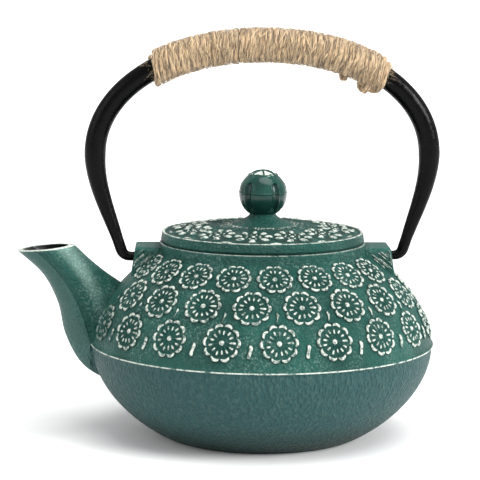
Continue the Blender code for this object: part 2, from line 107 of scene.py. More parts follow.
def add_piece(name, solid, material, body, replaces=(), slot=None, sharp=None, **layers):
    """Points in millimetres and their faces become a piece that rides on a body."""
    new_piece(name, mesh_from(name, *solid, sharp, **layers), material, body, replaces)


def mesh_from(name, points, faces, sharp=None, **layers):
    """A smooth mesh from points in millimetres, a list of face arrays, and named point values."""
    mesh = bpy.data.meshes.new(name)
    points = np.asarray(points, np.float32) * MM
    sizes = np.concatenate([np.full(len(block), block.shape[1], np.int32) for block in faces])
    corners = np.concatenate([block.reshape(-1) for block in faces]).astype(np.int32)
    mesh.vertices.add(len(points))
    mesh.vertices.foreach_set("co", points.reshape(-1))
    mesh.loops.add(len(corners))
    mesh.loops.foreach_set("vertex_index", corners)
    mesh.polygons.add(len(sizes))
    mesh.polygons.foreach_set("loop_start", np.concatenate([[0], np.cumsum(sizes)[:-1]]).astype(np.int32))
    mesh.update(calc_edges=True)
    for layer, values in layers.items():
        values = np.asarray(values, np.float32)
        kind = "FLOAT" if values.ndim == 1 else "FLOAT_VECTOR"
        attribute = mesh.attributes.new(layer, kind, "POINT")
        attribute.data.foreach_set("value" if kind == "FLOAT" else "vector", values.reshape(-1))
    mesh.shade_smooth()
    if sharp:
        mesh.set_sharp_from_angle(angle=math.radians(sharp))
    return mesh


def grid_faces(rows, columns, closed_rows=False):
    """Quads of rings of points, which may close on themselves the other way too."""
    i, j = np.meshgrid(np.arange(rows if closed_rows else rows - 1), np.arange(columns), indexing="ij")
    i2, j2 = (i + 1) % rows, (j + 1) % columns
    quads = np.stack([i * columns + j, i * columns + j2, i2 * columns + j2, i2 * columns + j], -1)
    return quads.reshape(-1, 4)


def pole_faces(pole, first, columns, flip=False):
    """Triangles between a pole and its ring of points."""
    j = np.arange(columns)
    ring, following = first + j, first + (j + 1) % columns
    order = (np.full(columns, pole), following, ring) if flip else (np.full(columns, pole), ring, following)
    return np.stack(order, -1)


def closed_tube(rings, first, last):
    """A closed solid through rings of points, with a middle point for each of its two ends."""
    count, sides = rings.shape[:2]
    points = np.concatenate([rings.reshape(-1, 3), [first, last]])
    faces = [grid_faces(count, sides)]
    faces.append(pole_faces(count * sides, 0, sides, flip=True))
    faces.append(pole_faces(count * sides + 1, (count - 1) * sides, sides))
    return points, faces


def angles(count):
    return np.arange(count) * TAU / count


def xyz(x, y, z):
    return np.stack(np.broadcast_arrays(x, y, z), -1)


def unit(vectors):
    return vectors / np.linalg.norm(vectors, axis=-1, keepdims=True)


def across_slope(profile, *spacing):
    """The normals of a (radius, z) outline."""
    slope = unit(np.gradient(profile, *spacing, axis=0))
    return np.stack([slope[:, 1], -slope[:, 0]], -1)


def turned(profile, steps, closed=False):
    """Points and faces of a (radius, z) profile turned about Z, faces out when it runs downwards outside."""
    profile = np.asarray(profile, float)
    poles = profile[:, 0] <= 0
    body = profile[~poles]
    angle = angles(steps)
    points = xyz(body[:, :1] * np.cos(angle), body[:, :1] * np.sin(angle), body[:, 1:]).reshape(-1, 3)
    faces = [grid_faces(len(body), steps, closed_rows=closed)[:, ::-1]]
    for end, first, flip in ((0, 0, False), (-1, (len(body) - 1) * steps, True)):
        if poles[end]:
            faces.append(pole_faces(len(points), first, steps, flip))
            points = np.concatenate([points, [[0, 0, profile[end, 1]]]])
    return points, faces


def swept(centres, radii, sides, along=(0.0, 1.0, 0.0), lobes=np.ones((1, 1))):
    """A tube through centres, closed by a point at each end. along is where its cross-section starts."""
    centres = np.asarray(centres, float)
    radii = np.broadcast_to(np.asarray(radii, float), (len(centres),))
    tangent = unit(np.gradient(centres, axis=0))
    side = np.zeros_like(centres)
    guide = np.array(along)
    for k, way in enumerate(tangent):
        side[k] = guide = unit(guide - way * (guide @ way))
    normal = np.cross(tangent, side)
    angle = angles(sides)
    shape = np.stack([np.cos(angle), np.sin(angle)], -1)[None] * radii[:, None, None] * lobes[..., None]
    rings = centres[:, None] + shape[..., :1] * normal[:, None] + shape[..., 1:] * side[:, None]
    return closed_tube(rings, centres[0], centres[-1])


def tilted(points):
    """The bail's slack in its holes lets it lean a little to the left."""
    x, z = points[:, 0], points[:, 2] - PIN_Z
    c, s = math.cos(BAIL_TILT), math.sin(BAIL_TILT)
    return np.stack([x * c - z * s, points[:, 1], PIN_Z + x * s + z * c], -1)


def merge(parts):
    """Several (points, faces) as one."""
    points, faces, start = [], [], 0
    for part_points, part_faces in parts:
        points.append(part_points)
        faces += [block + start for block in part_faces]
        start += len(part_points)
    return np.concatenate(points), faces


def bell(offset, power=2):
    """1 where offset is 0, and near 0 where it is past 2."""
    return np.exp(-(np.abs(offset) ** power))


def smooth_step(value, low, high):
    share = np.clip((value - low) / (high - low), 0, 1)
    return share * share * (3 - 2 * share)


def outward(points, faces):
    """The faces turned to face out, by the sign of the volume they hold."""
    volume = 0.0
    for block in faces:
        for k in range(1, block.shape[1] - 1):
            a, b, c = points[block[:, 0]], points[block[:, k]], points[block[:, k + 1]]
            volume += np.einsum("ij,ij->i", a, np.cross(b, c)).sum()
    return points, faces if volume > 0 else [block[:, ::-1] for block in faces]


class Turned:
    """The surface of a profile turned about Z, addressed by angle, distance along the profile and height."""

    def __init__(self, profile):
        profile = np.asarray(profile, float)
        step = np.hypot(*np.diff(profile, axis=0).T)
        self.s = np.concatenate([[0], np.cumsum(step)])
        self.profile = profile
        self.normal = across_slope(profile, self.s)

    def along(self, z):
        """Distance along the profile at a height, for a profile that only rises."""
        return float(np.interp(z, self.profile[:, 1], self.s))

    def along_lid(self, radius):
        """Distance along the profile at a radius, for a profile that runs inwards."""
        return float(np.interp(-radius, -self.profile[:, 0], self.s))

    def at(self, theta, s, height):
        radius = np.interp(s, self.s, self.profile[:, 0]) + height * np.interp(s, self.s, self.normal[:, 0])
        z = np.interp(s, self.s, self.profile[:, 1]) + height * np.interp(s, self.s, self.normal[:, 1])
        return xyz(radius * np.cos(theta), radius * np.sin(theta), z)


def patches(surface, places, rho, phi, shape):
    """Closed little reliefs on a turned surface, and their paint and hollow values; the hollow values are
    painted shade.

    places are (theta, s, turn). shape(rho, phi, k) gives sideways u, upward v, height, paint and hollow.
    """
    sink = 0.9
    parts, paints, hollows = [], [], []
    rings, spokes = len(rho), len(phi)
    for k, (theta, s, turn) in enumerate(places):
        values = np.broadcast_arrays(*shape(rho[:, None], phi[None, :], k), np.empty((rings, spokes)))
        u, v, height, paint, hollow = values[:5]
        u, v = u * math.cos(turn) - v * math.sin(turn), u * math.sin(turn) + v * math.cos(turn)
        here = float(np.interp(s, surface.s, surface.profile[:, 0]))
        top = surface.at(theta + u / here, s + v, height)
        edge = surface.at(theta + u[-1:] / here, s + v[-1:], np.full((1, spokes), -sink))
        middle, under = surface.at(np.full(2, theta), np.full(2, s), np.array([height[0, 0], -sink]))
        parts.append(closed_tube(np.concatenate([top, edge]), middle, under))
        paints.append([*paint.reshape(-1), *np.zeros(spokes), paint[0, 0], 0])
        hollows.append([*hollow.reshape(-1), *np.zeros(spokes + 2)])
    return outward(*merge(parts)), {"paint": np.concatenate(paints), "hollow": np.concatenate(hollows)}


def smooth_curve(points, count):
    """Points on a Catmull-Rom curve, as the CAD spout has them."""
    knots = np.asarray(points, float)
    knots = np.concatenate([[2 * knots[0] - knots[1]], knots, [2 * knots[-1] - knots[-2]]])
    place = np.linspace(0, len(points) - 1, count)
    span = np.minimum(place.astype(int), len(points) - 2)
    t = (place - span)[:, None]
    a, b, c, d = (knots[span + k] for k in range(4))
    return 0.5 * (2 * b + (c - a) * t + (2 * a - 5 * b + 4 * c - d) * t**2 + (3 * b - a - 3 * c + d) * t**3)


# ---------------------------------------------------------------- materials


class Nodes:
    """Short calls for building a material's node tree."""

    def __init__(self, name):
        self.material = bpy.data.materials.new(name)
        self.material.use_nodes = True
        self.tree = self.material.node_tree
        self.shader = self.tree.nodes["Principled BSDF"]

    def add(self, kind, **settings):
        node = self.tree.nodes.new(kind)
        for key, value in settings.items():
            setattr(node, key, value)
        return node

    def link(self, out, into):
        self.tree.links.new(out, into)

    def put(self, socket, value):
        if isinstance(value, bpy.types.NodeSocket):
            self.link(value, socket)
        else:
            socket.default_value = value

    def math(self, operation, a, b=0.0):
        node = self.add("ShaderNodeMath", operation=operation)
        self.put(node.inputs[0], a)
        self.put(node.inputs[1], b)
        return node.outputs[0]

    def times(self, *values):
        """The product of two or more values."""
        product = values[0]
        for value in values[1:]:
            product = self.math("MULTIPLY", product, value)
        return product

    def plus(self, a, b):
        return self.math("ADD", a, b)

    def minus(self, a, b):
        return self.math("SUBTRACT", a, b)

    def ramp(self, value, low, high, to_low=0.0, to_high=1.0):
        node = self.add("ShaderNodeMapRange", interpolation_type="SMOOTHSTEP")
        self.put(node.inputs["Value"], value)
        for key, number in (("From Min", low), ("From Max", high), ("To Min", to_low), ("To Max", to_high)):
            node.inputs[key].default_value = number
        return node.outputs["Result"]

    def mix(self, share, a, b, kind="RGBA"):
        node = self.add("ShaderNodeMix", data_type=kind)
        for key, value in (("Factor", share), ("A", a), ("B", b)):
            self.put(node.inputs[key], value)
        return node.outputs["Result"]

    def place(self):
        """Object coordinates in metres."""
        return self.add("ShaderNodeTexCoord").outputs["Object"]

    def scaled(self, vector, scale):
        node = self.add("ShaderNodeMapping")
        self.link(vector, node.inputs["Vector"])
        node.inputs["Scale"].default_value = scale
        return node.outputs["Vector"]

    def noise(self, vector, scale, detail=3.0, rough=0.55):
        node = self.add("ShaderNodeTexNoise")
        self.link(vector, node.inputs["Vector"])
        node.inputs["Scale"].default_value = scale
        node.inputs["Detail"].default_value = detail
        node.inputs["Roughness"].default_value = rough
        return node.outputs["Fac"]

    def attribute(self, name, output="Fac"):
        return self.add("ShaderNodeAttribute", attribute_name=name).outputs[output]

    def bump(self, height, distance, strength=1.0, under=None):
        node = self.add("ShaderNodeBump")
        node.inputs["Strength"].default_value = strength
        node.inputs["Distance"].default_value = distance
        self.link(height, node.inputs["Height"])
        if under:
            self.link(under, node.inputs["Normal"])
        return node.outputs["Normal"]

    def parts(self, vector):
        node = self.add("ShaderNodeSeparateXYZ")
        self.link(vector, node.inputs[0])
        return node.outputs

    def finish(self, colour, roughness, normal=None, **constants):
        self.put(self.shader.inputs["Base Color"], colour)
        self.put(self.shader.inputs["Roughness"], roughness)
        if normal:
            self.link(normal, self.shader.inputs["Normal"])
        for key, value in constants.items():
            self.shader.inputs[key.replace("_", " ")].default_value = value
        return self.material


GREEN = (0.006, 0.088, 0.067, 1)
GREEN_DEEP = (0.003, 0.052, 0.040, 1)
GREEN_GREY = (0.038, 0.097, 0.085, 1)
GREEN_BLUE_SHEEN = (0.010, 0.056, 0.056, 1)
GREEN_PALE = (0.24, 0.38, 0.33, 1)
GREEN_DARK = (0.004, 0.026, 0.020, 1)
WHITE_PAINT = (0.70, 0.75, 0.68, 1)


def iron_paint(name, bowl=False, paint_layer=False, lines=None, rubbing=(0.0, 0.36)):
    """Satin green paint over cast iron, greyer where it is rubbed, with white paint on raised edges and
    painted shade in the reliefs' hollows. On the pot it adds painted shade towards the foot, a bluish painted
    sheen below the belly's seam and painted light and shade on the spout.
    """
    n = Nodes(name)
    place = n.place()
    x, _, z = n.parts(place)
    broad = n.noise(place, 28.0, 4.0)
    fine = n.noise(place, 1500.0, 2.0, 0.6)
    pitted = n.noise(place, 620.0, 4.0, 0.65)
    colour = n.mix(n.ramp(broad, 0.35, 0.68), GREEN_DEEP, GREEN)
    rub_and_sheen = n.times(n.ramp(n.times(pitted, n.plus(broad, 0.5)), 0.5, 0.72), 0.5)
    colour = n.mix(rub_and_sheen, colour, GREEN_GREY)
    specks = n.ramp(n.noise(place, 950.0, 3.0, 0.65), 0.48, 0.66)
    patchy = n.ramp(n.noise(place, 80.0, 3.0, 0.6), 0.42, 0.62, *rubbing)
    colour = n.mix(n.times(specks, patchy), colour, GREEN_PALE)
    grain = pitted
    roughness = n.ramp(fine, 0.3, 0.75, 0.36, 0.5)
    if bowl:
        below = n.ramp(z, (BELLY_Z - 0.7) * MM, (BELLY_Z + 0.3) * MM, 1.0, 0.0)
        wave = n.noise(n.scaled(place, (1.0, 1.0, 0.5)), 680.0, 2.0, 0.5)
        grain = n.mix(below, pitted, wave, "FLOAT")
        # Below the belly's seam the green turns bluish grey: a painted sheen, the pale floor's reflection on
        # the bowl.
        bowl_sheen_colour = n.mix(n.times(n.ramp(wave, 0.48, 0.66), 0.5), GREEN_BLUE_SHEEN, GREEN_GREY)
        colour = n.mix(below, colour, bowl_sheen_colour)
        roughness = n.plus(roughness, n.times(below, 0.08))
        # Painted shade: darker towards the foot, under the belly.
        colour = n.mix(n.ramp(z, 0.0, 0.02, 0.95, 0.0), colour, GREEN_DARK)
        colour, rib = spout_tone(n, place, colour, specks)
        lug_top = n.ramp(z, (LUG_TOP_Z - 2.8) * MM, (LUG_TOP_Z - 0.8) * MM)
        on_lug_top = n.times(lug_top, n.ramp(radius_of(n, place), 0.0515, 0.0530, 0.0, 0.8))
        grain = n.times(grain, n.minus(1.0, on_lug_top))
    normal = n.bump(fine, 0.0003, 0.7, under=n.bump(grain, 0.0024, 1.0))
    if bowl:
        normal = n.bump(rib, 0.0006, 1.0, under=normal)
    # Painted shade from the hollow values: darker in the reliefs' hollows and in the dark lines round them.
    colour = n.mix(n.times(n.attribute("hollow"), 0.75), colour, GREEN_DARK)
    if paint_layer:
        worn = n.ramp(n.noise(place, 560.0, 3.0, 0.7), 0.36, 0.56, 0.12, 1.0)
        by_spout = n.ramp(x, -0.0745, -0.0695, 0.3, 1.0)
        share = n.times(n.ramp(n.attribute("paint"), 0.4, 0.66), n.times(worn, by_spout))
        colour = n.mix(share, colour, WHITE_PAINT)
        roughness = n.plus(roughness, n.times(share, 0.1))
    if lines:
        worn = n.ramp(n.noise(place, 300.0, 4.0, 0.75), 0.38, 0.54, 0.12, 1.0)
        colour = n.mix(n.times(lines(n, place), worn), colour, WHITE_PAINT)
    return n.finish(colour, roughness, normal, Specular_IOR_Level=0.28)


def circle_through(a, b, c):
    """Centre and radius of the circle through three points."""
    a, b, c = (np.array(point, float) for point in (a, b, c))
    centre = np.linalg.solve(2 * np.array([b - a, c - a]), [b @ b - a @ a, c @ c - a @ a])
    return centre, float(np.linalg.norm(a - centre))


def spout_tone(n, place, colour, specks):
    """The rib along the spout: painted light in grey-green on the lower face below it, painted shade in deep
    green just above it, and a painted highlight band near the top.
    """
    centre, size = circle_through(*SPOUT_RIB)
    x, _, z = n.parts(place)
    across = n.minus(x, float(centre[0]) * MM)
    upward = n.minus(z, float(centre[1]) * MM)
    reach = n.plus(n.times(across, across), n.times(upward, upward))
    off = n.minus(n.math("SQRT", reach), size * MM)
    on_spout = n.ramp(x, -0.0835, -0.0820, 1.0, 0.0)
    below = n.times(n.ramp(off, -0.0005, 0.0001, 1.0, 0.0), on_spout)
    above = n.times(n.ramp(off, -0.0001, 0.0065, 0.75, 0.0), n.ramp(off, -0.0005, 0.0001), on_spout)
    # Painted shade just above the rib and painted light on the face below it.
    colour = n.mix(above, colour, (0.004, 0.052, 0.042, 1))
    colour = n.mix(n.times(below, 0.8), colour, (0.042, 0.114, 0.100, 1))
    # A painted highlight: a pale band near the spout's top, flecked by the specks.
    rub_and_sheen = n.times(band(n, off, 0.0100, 0.0002, 0.0048), n.ramp(x, -0.0735, -0.0860, 0.0, 0.9))
    rub_and_sheen = n.times(rub_and_sheen, n.plus(n.times(specks, 0.5), 0.6))
    return n.mix(rub_and_sheen, colour, GREEN_PALE), below


def radius_of(n, place):
    x, y, _ = n.parts(place)
    return n.math("SQRT", n.plus(n.times(x, x), n.times(y, y)))


def band(n, value, middle, half, soft):
    """1 where value is within half of middle."""
    off = n.math("ABSOLUTE", n.minus(value, middle))
    return n.ramp(off, half, half + soft, 1.0, 0.0)


def pot_lines(n, place):
    """White paint on the belly's ridge and the spout's mouth, and a soft band of white on the neck's rim that
    is a painted highlight.
    """
    x, _, z = n.parts(place)
    radius = radius_of(n, place)
    on_ridge = band(n, radius, (BELLY_R + 0.4) * MM, 0.0004, 0.0002)
    ridge = n.times(band(n, z, BELLY_Z * MM, 0.0001, 0.00035), on_ridge)
    # A painted highlight on the neck's rim, at most 0.6 of full white.
    rim = n.times(n.ramp(z, (RIM_Z - 0.6) * MM, (RIM_Z + 0.1) * MM, 0.0, 0.6), n.ramp(radius, 0.0488, 0.0492))
    ends = np.array([SPOUT_LOWER[-1], SPOUT_UPPER[-1]]) * MM
    slope = (ends[1, 1] - ends[0, 1]) / (ends[1, 0] - ends[0, 0])
    level = n.minus(z, n.times(n.minus(x, ends[0, 0]), slope))
    mouth = n.times(n.ramp(level, ends[0, 1] - 0.0005, ends[0, 1] - 0.0001), n.ramp(x, -0.088, -0.089))
    return n.math("MAXIMUM", n.math("MAXIMUM", ridge, rim), mouth)


def lid_lines(n, place):
    """White paint on the lid's lip."""
    lip = n.ramp(n.parts(place)[2], (LID_TOP_Z - 0.35) * MM, (LID_TOP_Z - 0.1) * MM)
    return n.times(lip, n.ramp(radius_of(n, place), 0.0470, 0.0474))


def enamel():
    """Glossy black enamel, a little uneven."""
    n = Nodes("black_enamel")
    place = n.place()
    flow = n.noise(place, 180.0, 3.0)
    colour = n.mix(flow, (0.006, 0.006, 0.007, 1), (0.016, 0.016, 0.017, 1))
    return n.finish(colour, n.ramp(flow, 0.3, 0.7, 0.14, 0.26), n.bump(flow, 0.0005, 0.35))


def knob_paint():
    """Glossier and darker than the pot, with painted shade below the ball's parting line and in the flutes,
    and a white painted reflection in the crown's hollows.
    """
    n = Nodes("knob_paint")
    place = n.place()
    z = n.parts(place)[2]
    seam = (KNOB_Z + 1.2) * MM
    broad = n.noise(place, 120.0, 3.0)
    colour = n.mix(n.ramp(broad, 0.35, 0.7), (0.004, 0.034, 0.026, 1), (0.014, 0.070, 0.052, 1))
    # Painted shade on the ball's lower half, below the parting line.
    low = n.ramp(z, (KNOB_Z - 7.0) * MM, seam, 0.92, 0.35)
    low = n.times(low, n.ramp(z, seam - 0.0005, seam, 1.0, 0.0))
    colour = n.mix(low, colour, GREEN_DARK)
    # Painted shade in the flutes, from the hollow values.
    colour = n.mix(n.times(n.attribute("hollow"), 0.8), colour, GREEN_DARK)
    # A painted reflection of the light above: white in the crown's hollows, from the paint values.
    share = n.times(n.ramp(n.attribute("paint"), 0.4, 0.6), n.ramp(broad, 0.2, 0.45))
    colour = n.mix(share, colour, WHITE_PAINT)
    fine = n.noise(place, 1100.0, 2.0)
    waves = n.noise(place, 300.0, 2.0)
    normal = n.bump(fine, 0.0001, 0.3, under=n.bump(waves, 0.0004, 0.35))
    gloss = {"Coat_Weight": 0.22, "Coat_Roughness": 0.08, "Specular_IOR_Level": 0.22}
    return n.finish(colour, n.ramp(fine, 0.3, 0.7, 0.16, 0.26), normal, **gloss)


def black_lacquer():
    n = Nodes("black_lacquer")
    place = n.place()
    fine = n.noise(place, 800.0, 3.0)
    broad = n.noise(place, 60.0, 3.0)
    colour = n.mix(broad, (0.0002, 0.0002, 0.0002, 1), (0.0008, 0.0008, 0.0008, 1))
    normal = n.bump(fine, 0.00016, 0.5, under=n.bump(n.noise(place, 160.0, 2.0), 0.0008, 0.4))
    return n.finish(colour, n.ramp(fine, 0.3, 0.7, 0.2, 0.34), normal, Specular_IOR_Level=0.1)


def jute(name, dark, light):
    """Dry plant fibre: pale and brown strands that run along the twine, with painted shade where its two
    plies meet.
    """
    n = Nodes(name)
    strand = n.attribute("strand", "Vector")
    ply = n.parts(strand)[2]
    fibre = n.noise(n.scaled(strand, (0.22, 1.3, 0.0)), 1.0, 5.0, 0.8)
    broad = n.noise(n.scaled(strand, (0.06, 0.3, 0.0)), 1.0, 2.0)
    colour = n.mix(n.ramp(fibre, 0.41, 0.57), dark, light)
    colour = n.mix(n.times(n.ramp(broad, 0.4, 0.7), 0.3), colour, (0.68, 0.53, 0.36, 1))
    # Painted shade in the groove between the two plies.
    colour = n.mix(n.times(ply, 0.4), colour, (0.18, 0.11, 0.06, 1))
    normal = n.bump(fibre, 0.0006, 0.9)
    return n.finish(colour, 0.9, normal, Sheen_Weight=0.25, Sheen_Roughness=0.6, Specular_IOR_Level=0.25)


def brushed_steel(name, dark=False):
    n = Nodes(name)
    place = n.place()
    hair = n.noise(n.scaled(place, (60.0, 60.0, 2500.0)), 1.0, 2.0)
    tone = (0.42, 0.42, 0.41, 1) if dark else (0.58, 0.58, 0.57, 1)
    colour = n.mix(hair, tone, (0.70, 0.70, 0.69, 1))
    return n.finish(colour, n.ramp(hair, 0.3, 0.7, 0.22, 0.38), n.bump(hair, 0.00005, 0.4), Metallic=1.0)


def floor_paper():
    n = Nodes("pale_floor")
    place = n.place()
    tone = n.mix(n.noise(place, 14.0, 2.0), (0.93, 0.93, 0.93, 1), (0.95, 0.95, 0.95, 1))
    return n.finish(tone, 0.75)


# ---------------------------------------------------------------- pot


def bowl_profile(steps):
    share = np.linspace(0, 1, steps) ** 1.5
    swell = (1 - (1 - share) ** 2) ** BOWL_FULLNESS
    return np.stack([FOOT_R + (BELLY_R - FOOT_R) * swell, BELLY_Z * share], -1)


def shoulder_profile(steps):
    share = np.linspace(0, 1, steps)
    fall = SHOULDER_LEAN * share + (1 - SHOULDER_LEAN) * share**SHOULDER_POWER
    return np.stack([BELLY_R - (BELLY_R - NECK_FOOT_R) * fall, BELLY_Z + SHOULDER_RISE * share], -1)


def neck_profile(steps=9):
    """The cove between shoulder and neck, then the neck."""
    angle = np.linspace(0, 1, steps)[1:] * math.pi / 2
    radius = NECK_R + (NECK_FOOT_R - NECK_R) * (1 - np.sin(angle))
    cove = np.stack([radius, RIM_Z - 6 + COVE_RISE * (1 - np.cos(angle))], -1)
    rim = [(NECK_R, RIM_Z - 0.5), (NECK_R - 0.15, RIM_Z - 0.15), (NECK_R - 0.5, RIM_Z)]
    return np.concatenate([cove, rim])


def pot_profile():
    """Outer profile with the belly's ridge, from the foot up to the rim."""
    profile = np.concatenate([bowl_profile(70), shoulder_profile(70)[1:], neck_profile()])
    fine = np.linspace(BELLY_Z - 2.4, BELLY_Z + 2.4, 15)
    radius = np.interp(fine, profile[:, 1], profile[:, 0])
    keep = np.abs(profile[:, 1] - BELLY_Z) > 2.5
    low = profile[keep & (profile[:, 1] < BELLY_Z)]
    high = profile[keep & (profile[:, 1] > BELLY_Z)]
    seam = np.stack([radius + RIDGE_HEIGHT * bell((fine - BELLY_Z) / RIDGE_HALF), fine], -1)
    return np.concatenate([low, seam, high])


def cavity_profile():
    outline = np.concatenate([bowl_profile(40), shoulder_profile(34)[1:]])
    inside = outline - WALL * across_slope(outline)
    keep = (inside[:, 1] > FLOOR + 1) & (inside[:, 1] < CEILING_Z - 1) & (inside[:, 0] > MOUTH_R)
    inside = inside[keep]
    floor_r = inside[0, 0] - (inside[0, 1] - FLOOR)
    floor = [(0, FLOOR), (floor_r, FLOOR)]
    mouth = [(MOUTH_R, CEILING_Z), (MOUTH_R, SEAT_Z), (SEAT_R, SEAT_Z), (SEAT_R, RIM_Z + 1), (0, RIM_Z + 1)]
    return np.concatenate([floor, inside, mouth])


def spout_rings(stations, sides, inset=0.0, bore=None):
    """Rings of points: ellipses whose one diameter joins the lower and upper edges, with a side crease."""
    low, high = smooth_curve(SPOUT_LOWER, stations), smooth_curve(SPOUT_UPPER, stations)
    share = np.linspace(0, 1, stations)[:, None]
    width = (SPOUT_ROOT_WIDTH + (SPOUT_MOUTH_WIDTH - SPOUT_ROOT_WIDTH) * share) / 2 - inset
    centre, half = (low + high) / 2, (high - low) / 2
    length = np.linalg.norm(half, axis=1, keepdims=True)
    if bore:
        narrow = bore / 2 + (length - bore / 2) * share**2
        half = half / length * np.minimum(length - inset, narrow)
    level, across = np.cos(angles(sides)[None]), np.sin(angles(sides)[None])
    if not bore:
        tent = np.minimum((1 - level) / (1 - CREASE_LEVEL), (1 + level) / (1 + CREASE_LEVEL))
        fade = CREASE_STRENGTH * smooth_step(-share, -0.74, -0.36)
        across = (1 - fade) * across + fade * np.sign(across) * np.maximum(tent, 0) ** 0.62
    along = level[..., None] * half[:, None]
    return xyz(centre[:, None, 0] + along[..., 0], width * across, centre[:, None, 1] + along[..., 1])


def ringed_solid(rings):
    return closed_tube(rings, rings[0].mean(0), rings[-1].mean(0))


def helper(name, points, faces):
    return into_scene(name, mesh_from(name, *outward(points, faces)))


def lug_block(side):
    """A tapered block with rounded edges, from inside the neck to the lug's outer face."""
    inner, bottom = 44.4, LUG_TOP_Z - LUG_DEPTH
    reach = LUG_REACH + LUG_DRAFT * LUG_DEPTH
    outline = [(inner, LUG_TOP_Z), (LUG_REACH, LUG_TOP_Z), (reach, bottom), (inner, bottom)]
    mesh = bmesh.new()
    ends = []
    for y in (-LUG_WIDTH / 2, LUG_WIDTH / 2):
        ends.append([mesh.verts.new((side * x * MM, y * MM, z * MM)) for x, z in outline])
        mesh.faces.new(ends[-1])
    for k in range(4):
        mesh.faces.new([ends[0][k], ends[0][(k + 1) % 4], ends[1][(k + 1) % 4], ends[1][k]])
    bmesh.ops.recalc_face_normals(mesh, faces=mesh.faces)
    rounded = []
    for edge in mesh.edges:
        middle = (edge.verts[0].co + edge.verts[1].co) / 2
        if abs(middle.x) > (inner + 1) * MM and middle.z > (bottom + 1) * MM:
            rounded.append(edge)
    bmesh.ops.bevel(mesh, geom=rounded, offset=0.9 * MM, segments=5, profile=0.5, affect="EDGES")
    data = bpy.data.meshes.new("lug_block")
    mesh.to_mesh(data)
    mesh.free()
    return into_scene("lug_block", data)


def apply_booleans(base, steps):
    """Runs the Boolean steps, deletes the helpers and returns the resulting mesh."""
    for other, operation in steps:
        modifier = base.modifiers.new(operation, "BOOLEAN")
        modifier.operation, modifier.object, modifier.solver = operation, other, "MANIFOLD"
    graph = bpy.context.evaluated_depsgraph_get()
    mesh = bpy.data.meshes.new_from_object(base.evaluated_get(graph))
    for other, _ in steps:
        bpy.data.objects.remove(other)
    bpy.data.objects.remove(base)
    return mesh


def mark_inside(mesh, cutters):
    """Gives faces that lie on a cutter's surface the second material."""
    centres = np.empty(len(mesh.polygons) * 3, np.float32)
    mesh.polygons.foreach_get("center", centres)
    inside = np.zeros(len(mesh.polygons), np.int32)
    for tree in cutters:
        for k, centre in enumerate(centres.reshape(-1, 3)):
            if tree.find_nearest(Vector(centre), 0.00012)[0] is not None:
                inside[k] = 1
    mesh.polygons.foreach_set("material_index", inside)


def tree_of(points, faces):
    polygons = [tuple(face) for block in faces for face in block.tolist()]
    return BVHTree.FromPolygons([Vector(p) for p in (points * MM).tolist()], polygons)


def make_pot():
    profile = pot_profile()
    outer = np.concatenate([[(0, 0)], profile, [(0, RIM_Z)]])
    base = helper("pot_outer", *turned(outer[::-1], 360))
    cavity = turned(cavity_profile()[::-1], 200)
    bore_rings = spout_rings(30, 48, inset=SPOUT_WALL, bore=SPOUT_BORE)
    inward, forward = np.array([14.0, 0, -2.0]), np.array([-2.0, 0, 3.0])
    bore = ringed_solid(np.concatenate([bore_rings[:1] + inward, bore_rings, bore_rings[-1:] + forward]))
    steps = [(helper("spout_outer", *ringed_solid(spout_rings(72, 150))), "UNION")]
    steps += [(lug_block(side), "UNION") for side in (-1, 1)]
    steps += [(helper("cavity", *cavity), "DIFFERENCE"), (helper("bore", *bore), "DIFFERENCE")]
    for side in (-1, 1):
        deep = PIN_TIP_X - 0.3
        line = np.array([[side * deep, 0, PIN_Z], [side * 66.0, 0, PIN_Z]])
        steps.append((helper("pin_hole", *swept(line, PIN_HOLE_R, 40)), "DIFFERENCE"))
    mesh = apply_booleans(base, steps)
    mesh.materials.clear()
    mark_inside(mesh, [tree_of(*cavity), tree_of(*bore)])
    mesh.shade_smooth()
    mesh.set_sharp_from_angle(angle=math.radians(32))
    materials = [iron_paint("pot_paint", bowl=True, lines=pot_lines), enamel()]
    new_piece("pot_shell", mesh, materials, "pot", ["pot_body"])


# ---------------------------------------------------------------- blossoms

LOBES, DROPS = 10, 13
BLOSSOMS_ROUND = 19
BLOSSOM_ROWS = ((84.0, 8.4, -86.8), (72.7, 8.95, -77.4), (58.2, 8.9, -86.8))  # height, size, first angle
SPOUT_CLEAR, LUG_CLEAR = 168, 12  # the relief's end by the spout, and the top row's by the lugs, in degrees


def from_angle(phi, middle):
    return (phi - middle + math.pi) % TAU - math.pi


